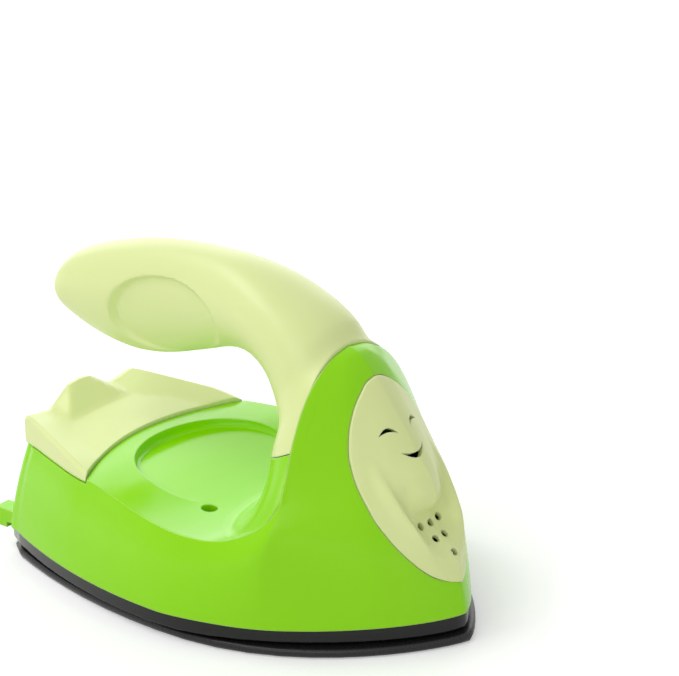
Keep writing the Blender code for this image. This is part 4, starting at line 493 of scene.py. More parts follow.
def saddle(x, y, sink=None):
    """Height of the saddle between its rims."""
    if sink is None:
        sink = SADDLE_SINK + (SADDLE_CROWN - SADDLE_SINK) * soft_step(*SADDLE_TURN, y)
    return RIM_TOP(y) + sink * (1 - np.clip(np.abs(x) / RIM_HALF(y), 0, 1) ** 2)


class HousingForm:
    """Outer form of the housing, or the same form moved inwards."""

    def __init__(self, inset=0.0):
        self.inset = inset
        self.nose_line = moved_line(NOSE_LINE, inset)
        heights, halves = moved_line([(z, -half) for z, half in HOOD_LINE], inset)
        self.hood_line = (heights, -halves)
        self.hood_y = HOOD_Y - inset
        self.top_z = HOOD_TOP - inset
        self.foot_z = HOOD_FOOT - inset

    def nose(self, z):
        """Y of the nose line at a height."""
        return np.minimum(np.interp(z, *self.nose_line), self.hood_y)

    def hood(self, z):
        """Half width in the hood's rear plane at a height."""
        return 0.0 if z >= self.top_z - 1e-9 else max(float(np.interp(z, *self.hood_line)), 0.0)

    def section(self, u, z):
        """Share of the hood's half width at share u of the way from the nose to its rear plane."""
        edge = edge_half(EDGE_TOE + (HOOD_Y - EDGE_TOE) * u) / edge_half(HOOD_Y)
        blend = soft_step(EDGE_Z, SECTION_FULL_Z, z)
        return edge * (1 - blend) + HOOD_SECTION(u) * blend

    def front_y(self, x, z):
        """Y of the front surface at a given X and height."""
        u = np.linspace(0.0, 1.0, 120)
        nose = float(self.nose(z))
        return nose + (self.hood_y - nose) * float(np.interp(abs(x) / (self.hood(z) + 1e-9), self.section(u, z), u))

    def columns(self, bottom_z, counts):
        """Side columns from the heel's middle to the hood's rear plane, and the top outline."""
        over, side, corner, rows = counts[:4]
        t = self.inset
        line = edge_line(t)
        flat_end = int(np.argmax(line[:, 0] > EDGE_HEEL_HALF - EDGE_CORNER))
        corner_end = int(np.argmax(line[:, 1] < EDGE_HEEL - EDGE_CORNER))
        side_end = int(np.argmax(line[:, 1] < self.hood_y))
        side_points = resample(line[corner_end:side_end + 1], side + 1)[1:]
        side_points[-1, 1] = self.hood_y
        bottoms = np.vstack([resample(line[:flat_end + 1], over + 1),
                             resample(line[flat_end:corner_end + 1], corner + 1)[1:], side_points])
        heel_y = HEEL_TOP_Y - t
        flat_half = float(RIM_HALF(HEEL_TOP_Y)) - t - HEEL_TOP_CORNER
        tops = [(flat_half * i / over, heel_y) for i in range(over + 1)]
        for i in range(1, corner + 1):
            angle = math.pi / 2 * i / corner
            tops.append((flat_half + HEEL_TOP_CORNER * math.sin(angle),
                         heel_y - HEEL_TOP_CORNER * (1 - math.cos(angle))))
        start_y = heel_y - HEEL_TOP_CORNER
        low_start = bottoms[over + corner, 1]
        for x, y in side_points:
            top_y = start_y + (self.hood_y - start_y) * (low_start - y) / (low_start - self.hood_y)
            tops.append((float(RIM_HALF(top_y)) - t, top_y))
        tops[-1] = (self.hood(self.foot_z), self.hood_y)
        columns = []
        for i, ((low_x, low_y), (top_x, top_y)) in enumerate(zip(bottoms, tops)):
            top_z = self.foot_z if i == len(tops) - 1 else float(RIM_TOP(top_y + t)) - t
            fade = float(soft_step(self.hood_y + (start_y - self.hood_y) / 4, self.hood_y, top_y))
            column = []
            for j in range(rows + 1):
                v = j / rows
                x = low_x + (top_x - low_x) * v
                if i > over:
                    x += SIDE_BULGE * 4 * v * (1 - v) * (1 - fade)
                hood_x = self.hood(bottom_z + (self.foot_z - bottom_z) * v)
                x += (hood_x - (bottoms[-1][0] + (tops[-1][0] - bottoms[-1][0]) * v)) * fade
                column.append((x, low_y + (top_y - low_y) * v, bottom_z + (top_z - bottom_z) * v))
            columns.append(column)
        return columns, tops

    def grids(self, bottom_z, counts):
        """Grids of the +X half of the closed form: sides, saddle, hood's rear and hood's front."""
        over, side, corner, rows, depth, wall = counts
        t = self.inset
        columns, tops = self.columns(bottom_z, counts)
        plan = [[tops[over - k] for k in range(over + 1)]]
        for rim_x, rim_y in tops[over + 1:]:
            plan.append([(rim_x * (1 - k / over), rim_y) for k in range(over + 1)])
        top_rows = []
        for index, row in enumerate(plan):
            widen = float(RIM_HALF(row[0][1] + t)) / max(row[0][0], 1.0)
            points = [(x, y, float(saddle(x * widen, y + t)) - t) for x, y in row]
            points[0] = (*row[0], columns[over + index][-1][2])
            if index == 0:
                points = [(x, y, columns[over - k][-1][2]) for k, (x, y) in enumerate(row)]
            top_rows.append(points)
        arch = []
        for k in range(over + 1):
            z = self.foot_z + (self.top_z - self.foot_z) * math.sin(math.pi / 2 * k / over)
            arch.append((self.hood(z), self.hood_y, z))
        arch[0] = top_rows[-1][0]
        arch[-1] = (0.0, self.hood_y, self.top_z)
        wall_rows = [[tuple(a + (b - a) * (r / wall) for a, b in zip(low, high))
                      for low, high in zip(top_rows[-1], arch)] for r in range(wall + 1)]
        levels = [bottom_z + (self.foot_z - bottom_z) * j / rows for j in range(rows)]
        horn_rows = []
        for z in levels + [point[2] for point in arch]:
            nose = float(self.nose(z))
            row = []
            for m in range(depth + 1):
                u = (1 - m / depth) ** 1.5
                x = float(self.section(u, max(z, EDGE_Z))) * self.hood(z)
                row.append((x if m < depth else 0.0, nose + (self.hood_y - nose) * u, z))
            horn_rows.append(row)
        for j in range(rows):
            horn_rows[j][0] = columns[-1][j]
        for k, point in enumerate(arch):
            horn_rows[rows + k][0] = point
        return columns, top_rows, wall_rows, horn_rows

    def body(self, bottom_z, counts):
        """Closed bmesh of the form."""
        bm = bmesh.new()
        for grid in self.grids(bottom_z, counts):
            patch(bm, grid)
        bmesh.ops.mirror(bm, geom=bm.verts[:] + bm.edges[:] + bm.faces[:], axis="X", merge_dist=0.001)
        bmesh.ops.remove_doubles(bm, verts=bm.verts, dist=MERGE)
        bmesh.ops.dissolve_degenerate(bm, dist=SHORTEST_EDGE, edges=bm.edges)
        bmesh.ops.contextual_create(bm, geom=[edge for edge in bm.edges if edge.is_boundary])
        return bm


OUTER_FORM = HousingForm()


def recess_tool(grow, drop):
    """Disc over the recess; its underside is the recess floor."""
    bm = bmesh.new()
    loops = []
    outer = RECESS_RADIUS + grow
    turns = np.linspace(0.0, math.pi / 2, 7)[1:]
    profile = [(radius, 0.0) for radius in np.linspace(0.02, 1.0, 15) * (outer - RECESS_FILLET)]
    profile += [(outer - RECESS_FILLET * (1 - math.sin(a)), RECESS_FILLET * (1 - math.cos(a))) for a in turns]
    for radius, rise in profile:
        loop = []
        for angle in np.linspace(0.0, math.tau, 120, endpoint=False):
            x, y = radius * math.cos(angle), RECESS_Y + radius * math.sin(angle)
            lift = RECESS_RAISE * float(1 - soft_step(*RECESS_RAISE_TURN, y))
            loop.append((x, y, float(saddle(x, y, SADDLE_SINK)) + lift - drop + rise))
        loops.append(loop)
    loops.append([(x * 1.05, RECESS_Y + (y - RECESS_Y) * 1.05, 36.0) for x, y, z in loops[-1]])
    loft(bm, loops)
    return bm


def seam_z(y):
    """Height of the sloping seam between the pedestal and the handle."""
    return SEAM_FRONT_Z - (SEAM_FRONT_Z - SEAM_REAR_Z) / POST_DEPTH * (y - HOOD_Y)


def pedestal():
    """Pedestal that carries the handle and runs out into the saddle."""
    loops = []
    for share in [math.sin(math.pi / 2 * k / POST_LEVELS) for k in range(POST_LEVELS)] + [1.0]:
        growth = 1 - math.sqrt(1 - share ** 2)
        depth = POST_DEPTH + POST_FILLET * growth
        half = OUTER_FORM.hood(SEAM_FRONT_Z + (HOOD_FOOT - SEAM_FRONT_Z) * share) - POST_STEP * (1 - share)
        loop = []
        for angle in np.linspace(0.0, math.pi, POST_POINTS):
            c, s = math.cos(angle), abs(math.sin(angle))
            y = HOOD_Y + depth * s ** POST_POWER
            x = abs(c) ** POST_POWER * half
            x += growth * c * c * float(np.clip(POST_SKIRT_SHARE * (RIM_HALF(y) - x), 0.0, POST_SKIRT))
            x = math.copysign(x, c)
            top = seam_z(HOOD_Y + POST_DEPTH * s ** POST_POWER)
            loop.append((x, y, top + (float(saddle(x, y)) - top) * share))
        inside = HOOD_Y - WALL / 2
        tucked = half - POST_TUCK
        loops.append([(tucked, inside, loop[0][2])] + loop + [(-tucked, inside, loop[-1][2])])
    loops.append([(x, y, z - WALL / 2) for x, y, z in loops[-1]])
    bm = bmesh.new()
    loft(bm, loops)
    return bm


def build_housing():
    """Housing: hollow form with its seat, recess, face opening, wells, pedestal, tubes and heel pegs."""
    seat = bmesh.new()
    arc = [(x, SEAT_ARC_Y - x ** 2 / (2 * SEAT_ARC_RADIUS), SEAT_Z) for x in np.linspace(-TOOL_HALF, TOOL_HALF, 97)]
    prism(seat, arc + [(TOOL_HALF, TOOL_REAR, SEAT_Z), (-TOOL_HALF, TOOL_REAR, SEAT_Z)], (0.0, 0.0, TOOL_RISE))
    cavity = HousingForm(WALL).body(EDGE_Z - OVERRUN, COARSE)
    above = bmesh.new()
    prism(above, [(-TOOL_HALF, LOW_HOLLOW_Y, SEAT_Z - WALL), (TOOL_HALF, LOW_HOLLOW_Y, SEAT_Z - WALL),
                  (TOOL_HALF, TOOL_REAR, SEAT_Z - WALL), (-TOOL_HALF, TOOL_REAR, SEAT_Z - WALL)],
          (0.0, 0.0, TOOL_RISE))
    cavity = carve(carve(cavity, above), recess_tool(WALL, WALL))
    opening = bmesh.new()
    prism(opening, [(x, EDGE_TOE - OPENING_LEAD, z) for x, z in face_outline(FACE_GAP)],
          (0.0, HOOD_Y - EDGE_TOE - WALL + OPENING_OVERRUN, 0.0))
    holes = bmesh.new()
    for x, y in WELLS:
        top = float(saddle(x, y))
        prism(holes, [(x + WELL_RADIUS * math.cos(a), y + WELL_RADIUS * math.sin(a), top - WALL - HOLE_LEAD)
                      for a in np.linspace(0.0, math.tau, 40, endpoint=False)], (0.0, 0.0, HOLE_RUN))
    bm = OUTER_FORM.body(EDGE_Z, FINE)
    for tool in (seat, recess_tool(0.0, 0.0), cavity, opening, holes):
        bm = carve(bm, tool)
    absorb(bm, pedestal())
    for x, y in WELLS:
        top = float(saddle(x, y))
        tube = bmesh.new()
        root = top - WALL + TUBE_SINK
        turned(tube, [(TUBE_BORE, TUBE_FOOT), (TUBE_RADIUS, TUBE_FOOT), (TUBE_RADIUS, root), (WELL_RADIUS, root),
                      (WELL_RADIUS, top - WELL_DEPTH), (TUBE_BORE, top - WELL_DEPTH)], (x, y))
        absorb(bm, tube)
    for x in (PEG_X, -PEG_X - PEG_WIDTH):
        peg = bmesh.new()
        prism(peg, [(x, y, z) for y, z in PEG_PROFILE], (PEG_WIDTH, 0.0, 0.0))
        absorb(bm, peg)
    bmesh.ops.scale(bm, verts=bm.verts, vec=(MM, MM, MM))
    even_shading(new_piece("housing", bm, "shell_green", ["housing_shell"]))


# Face plate: height and half width of its outline, then its relief in front of the hood by height, at shares of
# its half width
FACE_THICK, FACE_GAP = 1.8, 0.12
FACE_LINE = ((13.2, 0.0), (13.9, 2.4), (15.9, 5.6), (19.4, 8.4), (24.1, 10.8), (29.6, 12.3), (34.3, 12.5),
             (39.7, 11.9), (44.8, 10.1), (48.7, 7.5), (51.4, 4.6), (53.0, 2.0), (53.5, 0.0))
RELIEF_ACROSS = (0.0, 0.25, 0.45, 0.65, 0.85, 1.0)
RELIEF_ROWS = (
    (13.2, 0.5, 0.5, 0.5, 0.5, 0.45, 0.35), (15.0, 0.8, 0.8, 0.8, 0.75, 0.6, 0.35),
    (17.5, 0.5, 0.6, 0.8, 1.05, 0.75, 0.35), (20.0, -0.8, -0.5, 0.3, 1.25, 0.85, 0.35),
    (22.4, -2.2, -1.8, -0.5, 1.35, 0.85, 0.35), (24.9, -3.4, -2.9, -1.1, 1.3, 0.75, 0.35),
    (27.0, -2.2, -1.9, -0.9, 1.1, 0.65, 0.35), (29.0, 0.0, -0.1, -0.4, 0.95, 0.6, 0.35),
    (32.0, 1.9, 1.5, 0.4, 0.85, 0.5, 0.35), (35.0, 2.2, 2.0, 1.3, 0.75, 0.45, 0.35),
    (38.5, 1.7, 1.6, 1.3, 0.7, 0.45, 0.35), (42.0, 1.4, 1.35, 1.15, 0.7, 0.45, 0.35),
    (46.0, 1.1, 1.1, 0.95, 0.65, 0.45, 0.35), (50.0, 0.7, 0.7, 0.65, 0.55, 0.45, 0.35),
    (53.5, 0.35, 0.35, 0.35, 0.35, 0.35, 0.35),
)
FACE_HALF = spline(FACE_LINE)
RELIEF_COLUMNS = [spline([(row[0], row[1 + k]) for row in RELIEF_ROWS]) for k in range(len(RELIEF_ACROSS))]
VENT_TOP_Z, VENT_PITCH_X, VENT_PITCH_Z, VENT_RADIUS = 24.5, 2.9, 2.45, 0.85
# Ridge that runs down both cheeks and under the chin: half width, middle and height of its oval, width and rise
RIDGE_HALF, RIDGE_Z, RIDGE_HEIGHT, RIDGE_WIDTH, RIDGE_RISE = 8.9, 36.5, 17.2, 1.0, 1.2
# Half the height over which the ridge dies out above its oval's middle
RIDGE_FADE = 4.0
# Step for measuring the plate's slope, and how far the slot cutters start before it and run past it
SLOPE_STEP, SLOT_LEAD, SLOT_OVERRUN = 0.3, 2.0, 2.0
# Closed eyes and smile: half length, then the rise of the outer and the inner arc
EYE_PLACE, EYE_ARCS = (4.0, 43.5), (2.2, 1.45, 0.6)
MOUTH_PLACE, MOUTH_ARCS = (0.0, 40.6), (3.4, -2.45, -1.25)


def face_outline(grow=0.0):
    """Closed outline of the face plate in X and Z."""
    low, high = FACE_LINE[0][0], FACE_LINE[-1][0]
    z = low + (high - low) * (0.5 - 0.5 * np.cos(np.linspace(0.0, math.pi, 49)))
    right = np.stack([FACE_HALF(z), z], axis=1)
    loop = np.vstack([right, (right[1:-1] * np.array([-1.0, 1.0]))[::-1]])
    middle = (loop.min(axis=0) + loop.max(axis=0)) / 2
    reach = (loop.max(axis=0) - loop.min(axis=0)) / 2
    return middle + (loop - middle) * (1 + grow / reach)


def face_point(x, z):
    """Point on the face plate's front."""
    half = max(float(FACE_HALF(z)), 0.01)
    relief = spline([(share, float(column(z))) for share, column in zip(RELIEF_ACROSS, RELIEF_COLUMNS)])
    away = (math.hypot(x / RIDGE_HALF, (z - RIDGE_Z) / RIDGE_HEIGHT) - 1) * RIDGE_HALF / RIDGE_WIDTH
    ridge = RIDGE_RISE * math.exp(-away * away) * float(soft_step(RIDGE_Z + RIDGE_FADE, RIDGE_Z - RIDGE_FADE, z))
    return Vector((x, OUTER_FORM.front_y(x, z) - float(relief(min(abs(x) / half, 1.0))) - ridge, z))


def add_slot(bm, place, shape):
    """Prism of a flat shape into the face plate, along the plate's own normal."""
    x, z = place
    sideways = (face_point(x + SLOPE_STEP, z) - face_point(x - SLOPE_STEP, z)).normalized()
    upwards = face_point(x, z + SLOPE_STEP) - face_point(x, z - SLOPE_STEP)
    upwards = (upwards - sideways * upwards.dot(sideways)).normalized()
    out = sideways.cross(upwards)
    start = face_point(x, z) + out * SLOT_LEAD
    prism(bm, [start + sideways * u + upwards * v for u, v in shape],
          -out * (FACE_THICK + SLOT_LEAD + SLOT_OVERRUN))


def crescent(half, outer, inner):
    """Closed crescent between two arcs."""
    t = np.linspace(-1.0, 1.0, 25)
    upper = [(half * s, outer * (1 - s * s)) for s in t]
    lower = [(half * s, inner * (1 - s * s)) for s in t[-2:0:-1]]
    return upper + lower


def build_face():
    """Face plate: sculpted sheet pierced by two closed eyes, a smile and six vents."""
    bm = bmesh.new()
    low, high = FACE_LINE[0][0], FACE_LINE[-1][0]
    shares = 0.5 - 0.5 * np.cos(np.linspace(0.0, math.pi, 101))
    rows = []
    for z in low + (high - low) * shares:
        half = float(FACE_HALF(z))
        rows.append([face_point(half * s, z) for s in np.sin(np.linspace(-1.0, 1.0, 61) * math.pi / 2)])
    patch(bm, rows)
    bmesh.ops.remove_doubles(bm, verts=bm.verts, dist=MERGE)
    bmesh.ops.dissolve_degenerate(bm, dist=SHORTEST_EDGE, edges=bm.edges)
    grown = bmesh.ops.extrude_face_region(bm, geom=bm.faces[:], use_keep_orig=True)["geom"]
    bmesh.ops.translate(bm, verts=[item for item in grown if isinstance(item, bmesh.types.BMVert)],
                        vec=(0.0, FACE_THICK, 0.0))
    slots = bmesh.new()
    for row in range(3):
        for k in range(3 - row):
            add_slot(slots, ((k - (2 - row) / 2) * VENT_PITCH_X, VENT_TOP_Z - row * VENT_PITCH_Z),
                        [(VENT_RADIUS * math.cos(a), VENT_RADIUS * math.sin(a))
                         for a in np.linspace(0.0, math.tau, 24, endpoint=False)])
    for side in (-1, 1):
        add_slot(slots, (side * EYE_PLACE[0], EYE_PLACE[1]), crescent(*EYE_ARCS))
    add_slot(slots, MOUTH_PLACE, crescent(*MOUTH_ARCS))
    bm = carve(bm, slots)
    bmesh.ops.recalc_face_normals(bm, faces=bm.faces)
    bmesh.ops.scale(bm, verts=bm.verts, vec=(MM, MM, MM))
    even_shading(new_piece("face", bm, "pale_green", ["face_plate"]))


def through(rows, per_step):
    """Rows of a smooth curve through the given rows."""
    rows = np.array(rows, float)
    padded = np.vstack([2 * rows[0] - rows[1], rows, 2 * rows[-1] - rows[-2]])
    result = []
    for a, b, c, d in zip(padded, padded[1:], padded[2:], padded[3:]):
        for k in range(per_step):
            t = k / per_step
            result.append(b + 0.5 * t * (c - a + t * (2 * a - 5 * b + 4 * c - d + t * (3 * (b - c) + d - a))))
    result.append(rows[-1])
    return result


def slice_off(bm, point, normal):
    """Cut away the side a plane's normal points to, and close the cut."""
    geometry = bm.verts[:] + bm.edges[:] + bm.faces[:]
    bmesh.ops.bisect_plane(bm, geom=geometry, dist=1e-7, plane_co=point, plane_no=normal, clear_outer=True)
    rim = [edge for edge in bm.edges if edge.is_boundary]
    bmesh.ops.contextual_create(bm, geom=rim)


# Handle from the butt to the foot, in millimetres: upper Y and Z, lower Y and Z, half width, squareness, egg form
HANDLE_STATIONS = (
    (52.95, 57.2, 52.9, 56.2, 0.9, 2.0, 0.0), (52.85, 57.9, 52.7, 55.5, 2.3, 2.05, 0.02),
    (52.7, 58.4, 52.3, 54.9, 3.6, 2.1, 0.05), (52.3, 60.6, 51.4, 53.1, 5.4, 2.1, 0.1),
    (50.9, 63.2, 49.4, 51.1, 6.6, 2.1, 0.16), (47.6, 65.8, 46.0, 49.3, 7.2, 2.1, 0.16),
    (43.4, 67.6, 42.4, 47.9, 7.5, 2.1, 0.16), (38.4, 69.2, 37.6, 46.7, 7.7, 2.1, 0.16),
    (32.5, 70.7, 32.0, 46.1, 7.8, 2.1, 0.16), (26.5, 71.9, 26.5, 46.4, 7.8, 2.1, 0.16),
    (20.0, 72.7, 21.0, 47.4, 7.8, 2.1, 0.16), (13.5, 73.05, 15.5, 48.9, 7.8, 2.1, 0.16),
    (7.0, 73.05, 10.2, 50.5, 8.0, 2.1, 0.16), (1.0, 72.7, 5.2, 52.1, 8.4, 2.1, 0.16),
    (-4.7, 71.7, 0.6, 52.9, 9.1, 2.1, 0.16), (-10.3, 70.0, -3.6, 52.6, 9.9, 2.1, 0.16),
    (-15.3, 67.9, -7.2, 51.3, 10.6, 2.1, 0.12), (-19.9, 65.5, -10.0, 49.3, 11.2, 2.15, 0.06),
    (-23.9, 62.6, -11.8, 46.5, 11.7, 2.2, 0.0), (-26.8, 58.9, -12.8, 43.4, 12.3, 2.2, 0.0),
    (-31.5, 56.5, -13.6, 40.0, 14.2, 2.2, 0.0), (-34.0, 51.5, -14.4, 36.4, 17.2, 2.7, 0.0),
    (-38.0, 44.5, -14.7, 32.6, 20.4, 2.8, 0.0),
)
# Middle of the thumb dimple in Y and Z, its tilt, and the share of its oval that its edge takes
DIMPLE_PLACE, DIMPLE_TILT = (18.0, 57.8), math.radians(-10.0)
DIMPLE_EDGE = 0.2
# Foot of the handle, just clear of the hood's rear plane and of the pedestal's seam
HOOD_PLANE = -26.48
SEAM_PLACES = ((-26.6, 42.15), (-14.7, 36.45))
HANDLE_RING_POINTS = 144
HANDLE_RINGS_PER_STATION = 8


def build_handle():
    """Handle: oval rings along the hook, bridged, with a dimple each side and cut to the hood and pedestal."""
    sizes = bpy.context.scene.iron_shape
    half_length = sizes.dimple_length / MM / 2
    half_height = sizes.dimple_height / MM / 2
    depth = sizes.dimple_depth / MM
    bm = bmesh.new()
    last = None
    for station in through(HANDLE_STATIONS, HANDLE_RINGS_PER_STATION):
        upper_y, upper_z, lower_y, lower_z, half, power, egg = station
        verts = bmesh.ops.create_circle(bm, segments=HANDLE_RING_POINTS, radius=1.0)["verts"]
        edges = list(dict.fromkeys(edge for vert in verts for edge in vert.link_edges))
        for vert in verts:
            s, c = vert.co.x, vert.co.y
            up = math.copysign(abs(c) ** (2 / power), c) / 2 + 0.5
            x = math.copysign(abs(s) ** (2 / power), s) * half * (1 + egg * c)
            y = lower_y + (upper_y - lower_y) * up
            z = lower_z + (upper_z - lower_z) * up
            out_y, out_z = y - DIMPLE_PLACE[0], z - DIMPLE_PLACE[1]
            long_way = out_y * math.cos(DIMPLE_TILT) + out_z * math.sin(DIMPLE_TILT)
            high_way = out_z * math.cos(DIMPLE_TILT) - out_y * math.sin(DIMPLE_TILT)
            spot = 1 - (long_way / half_length) ** 2 - (high_way / half_height) ** 2
            step = min(max(spot / DIMPLE_EDGE, 0.0), 1.0)
            dip = depth * step * step * (3 - 2 * step) * abs(s)
            vert.co = Vector((math.copysign(max(abs(x) - dip, 0.0), x), y, z)) * MM
        if last:
            bmesh.ops.bridge_loops(bm, edges=last + edges)
        last = edges
    bmesh.ops.holes_fill(bm, edges=[edge for edge in bm.edges if edge.is_boundary], sides=0)
    slice_off(bm, (0.0, HOOD_PLANE * MM, 0.0), (0.0, -1.0, 0.0))
    (front_y, front_z), (rear_y, rear_z) = SEAM_PLACES
    normal = (0.0, rear_z - front_z, front_y - rear_y)
    slice_off(bm, (0.0, front_y * MM, front_z * MM), normal)
    bmesh.ops.recalc_face_normals(bm, faces=bm.faces)
    new_piece("handle", bm, "pale_green", ["handle_grip"], HANDLE_SHARP_ANGLE)


# CAD nodes that new pieces stand for, and those that are shown as smooth copies
REBUILT = ("housing_shell", "face_plate", "handle_grip")
OUTER_PIECES = {
    "rear_cover": "cover", "skirt_ring": "ring", "soleplate": "sole", "cord_bush": "bush",
    "saddle_screw_1": "screw_a", "saddle_screw_2": "screw_b",
}


class IRON_OT_housing(bpy.types.Operator):
    """Build the hollow housing with its saddle, hood and pedestal"""

    bl_idname = "craft_iron.housing"
    bl_label = "Housing"

    def execute(self, context):
        build_housing()
        return {"FINISHED"}


class IRON_OT_face(bpy.types.Operator):
    """Build the sculpted face plate at the nose"""

    bl_idname = "craft_iron.face"
    bl_label = "Face plate"

    def execute(self, context):
        build_face()
        return {"FINISHED"}


class IRON_OT_outer(bpy.types.Operator):
    """Finish the rear cover, ring, soleplate, bush and saddle screws"""

    bl_idname = "craft_iron.outer"
    bl_label = "Outer pieces"

    def execute(self, context):
        for node_name, piece_name in OUTER_PIECES.items():
            smooth_copy(node_name, piece_name, COVER_SHARP_ANGLE if piece_name == "cover" else SHARP_ANGLE)
        return {"FINISHED"}


class IRON_OT_handle(bpy.types.Operator):
    """Build the hooked handle with its thumb dimples"""

    bl_idname = "craft_iron.handle"
    bl_label = "Handle"

    def execute(self, context):
        build_handle()
        return {"FINISHED"}


class IRON_OT_inner(bpy.types.Operator):
    """Finish the heating parts and fasteners inside the housing"""

    bl_idname = "craft_iron.inner"
    bl_label = "Inner parts"

    def execute(self, context):
        for node_name in frame["nodes"]:
            if node_name not in OUTER_PIECES and node_name not in REBUILT:
                dress(node_name)
        return {"FINISHED"}


def area_lamp(name, place, width, depth, power):
    """Soft rectangular lamp aimed at the iron's middle."""
    data = bpy.data.lights.new(name, "AREA")
    data.shape = "RECTANGLE"
    data.size = width
    data.size_y = depth
    data.energy = power
    lamp = bpy.data.objects.new(name, data)
    bpy.context.scene.collection.objects.link(lamp)
    lamp.location = place
    lamp.rotation_mode = "QUATERNION"
    lamp.rotation_quaternion = (Vector(LAMP_TARGET) - Vector(place)).to_track_quat("-Z", "Y")


def seen_directly(tree):
    """Socket that is 1 for what the camera sees, also in reflections and through glass."""
    path = add_node(tree, "ShaderNodeLightPath")
    total = path.outputs["Is Camera Ray"]
    for name in ("Is Glossy Ray", "Is Transmission Ray"):
        joined = add_node(tree, "ShaderNodeMath", {"operation": "MAXIMUM"})
        tree.links.new(total, joined.inputs[0])
        tree.links.new(path.outputs[name], joined.inputs[1])
        total = joined.outputs[0]
    return total


# Camera of the photograph, solved with the part's frame: place, then its right, up and back axes
CAMERA_PLACE = (-0.338911, -0.312694, 0.234137)
CAMERA_RIGHT = (0.631583, -0.773616, -0.051203)
CAMERA_UP = (0.313052, 0.194043, 0.929702)
CAMERA_BACK = (-0.709296, -0.603213, 0.364736)
# Lamps in metres: name, place, width, depth and the setting that holds the power; all aim at the iron's middle
LAMPS = (
    ("top_softbox", (-0.3, 0.36, 0.87), 0.6, 0.5, "top_light"),
    ("back_softbox", (0.85, 0.72, 0.5), 1.5, 0.8, "back_light"),
    ("side_softbox", (-0.95, -0.3, 0.55), 0.8, 0.8, "side_light"),
    ("edge_strip", (-0.25, 0.36, 0.78), 0.8, 0.04, "edge_light"),
)
LAMP_TARGET = (0.0, 0.0, 0.03)
FLOOR_RADIUS = 6.0
# The far floor turns as white as the backdrop, and only the part around the iron keeps its shadow
FLOOR_FADE = {"From Min": 0.12, "From Max": 0.5, "To Min": 0.3, "To Max": 1.0}


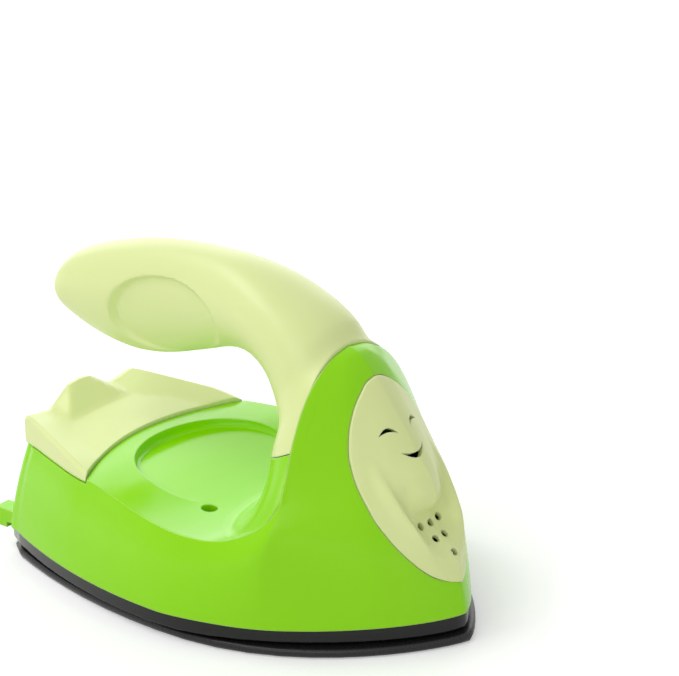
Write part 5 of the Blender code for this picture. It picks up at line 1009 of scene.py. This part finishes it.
class IRON_OT_stage(bpy.types.Operator):
    """Set up the floor, the soft light and the camera"""

    bl_idname = "craft_iron.stage"
    bl_label = "Stage"

    def execute(self, context):
        settings = context.scene.iron_stage
        bm = bmesh.new()
        bmesh.ops.create_circle(bm, cap_ends=True, segments=64, radius=FLOOR_RADIUS)
        mesh = bpy.data.meshes.new("floor")
        bm.to_mesh(mesh)
        bm.free()
        floor = bpy.data.objects.new("floor", mesh)
        context.scene.collection.objects.link(floor)
        material = bpy.data.materials.new("Matt white paint")
        material.use_nodes = True
        tree = material.node_tree
        shader = tree.nodes["Principled BSDF"]
        shader.inputs["Base Color"].default_value = (*settings.floor_colour, 1.0)
        shader.inputs["Roughness"].default_value = 0.9
        shader.inputs["Specular IOR Level"].default_value = 0.0
        shader.inputs["Emission Color"].default_value = (1.0, 1.0, 1.0, 1.0)
        place = add_node(tree, "ShaderNodeTexCoord")
        reach = add_node(tree, "ShaderNodeVectorMath", {"operation": "LENGTH"})
        tree.links.new(place.outputs["Object"], reach.inputs[0])
        fade = add_node(tree, "ShaderNodeMapRange", FLOOR_FADE, Value=reach.outputs["Value"])
        glow = add_node(tree, "ShaderNodeMath", {"operation": "MULTIPLY"})
        tree.links.new(fade.outputs["Result"], glow.inputs[0])
        tree.links.new(seen_directly(tree), glow.inputs[1])
        tree.links.new(glow.outputs["Value"], shader.inputs["Emission Strength"])
        mesh.materials.append(material)

        world = bpy.data.worlds.new("Studio")
        context.scene.world = world
        world.use_nodes = True
        background = world.node_tree.nodes["Background"]
        background.inputs["Color"].default_value = (1.0, 1.0, 1.0, 1.0)
        strength = add_node(world.node_tree, "ShaderNodeMapRange", {"To Min": settings.room_light, "To Max": 1.0},
                            Value=seen_directly(world.node_tree))
        world.node_tree.links.new(strength.outputs["Result"], background.inputs["Strength"])

        for name, place, width, depth, setting in LAMPS:
            area_lamp(name, place, width, depth, getattr(settings, setting))

        data = bpy.data.cameras.new("camera")
        data.lens = settings.lens
        data.sensor_width = 36.0
        data.clip_start = 0.01
        data.clip_end = 50.0
        camera = bpy.data.objects.new("camera", data)
        context.scene.collection.objects.link(camera)
        axes = Matrix((CAMERA_RIGHT, CAMERA_UP, CAMERA_BACK)).transposed()
        camera.matrix_world = Matrix.Translation(CAMERA_PLACE) @ axes.to_4x4()
        context.scene.camera = camera
        context.scene.view_settings.view_transform = "Standard"
        return {"FINISHED"}


class IRON_PT_panel(bpy.types.Panel):
    """Lists the iron's sizes, colours and building steps."""

    bl_idname = "IRON_PT_panel"
    bl_label = "Mini Craft Iron"
    bl_space_type = "VIEW_3D"
    bl_region_type = "UI"
    bl_category = "Craft Iron"

    def draw(self, context):
        layout = self.layout
        for group in (context.scene.iron_finish, context.scene.iron_shape, context.scene.iron_stage):
            for key in group.bl_rna.properties.keys():
                if key not in ("rna_type", "name"):
                    layout.prop(group, key)
        for step in STEPS:
            layout.operator(step.bl_idname)


STEPS = (IRON_OT_housing, IRON_OT_face, IRON_OT_outer, IRON_OT_handle, IRON_OT_inner, IRON_OT_stage)
CLASSES = (IronFinishSettings, IronShapeSettings, IronStageSettings, *STEPS, IRON_PT_panel)


def register():
    for item in CLASSES:
        bpy.utils.register_class(item)
    bpy.types.Scene.iron_finish = bpy.props.PointerProperty(type=IronFinishSettings)
    bpy.types.Scene.iron_shape = bpy.props.PointerProperty(type=IronShapeSettings)
    bpy.types.Scene.iron_stage = bpy.props.PointerProperty(type=IronStageSettings)


def unregister():
    del bpy.types.Scene.iron_stage
    del bpy.types.Scene.iron_shape
    del bpy.types.Scene.iron_finish
    for item in reversed(CLASSES):
        bpy.utils.unregister_class(item)


def main():
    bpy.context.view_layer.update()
    register()
    bpy.ops.craft_iron.housing()
    bpy.ops.craft_iron.face()
    bpy.ops.craft_iron.outer()
    bpy.ops.craft_iron.handle()
    bpy.ops.craft_iron.inner()
    bpy.ops.craft_iron.stage()
    bpy.context.view_layer.update()


if __name__ == "__main__":
    main()
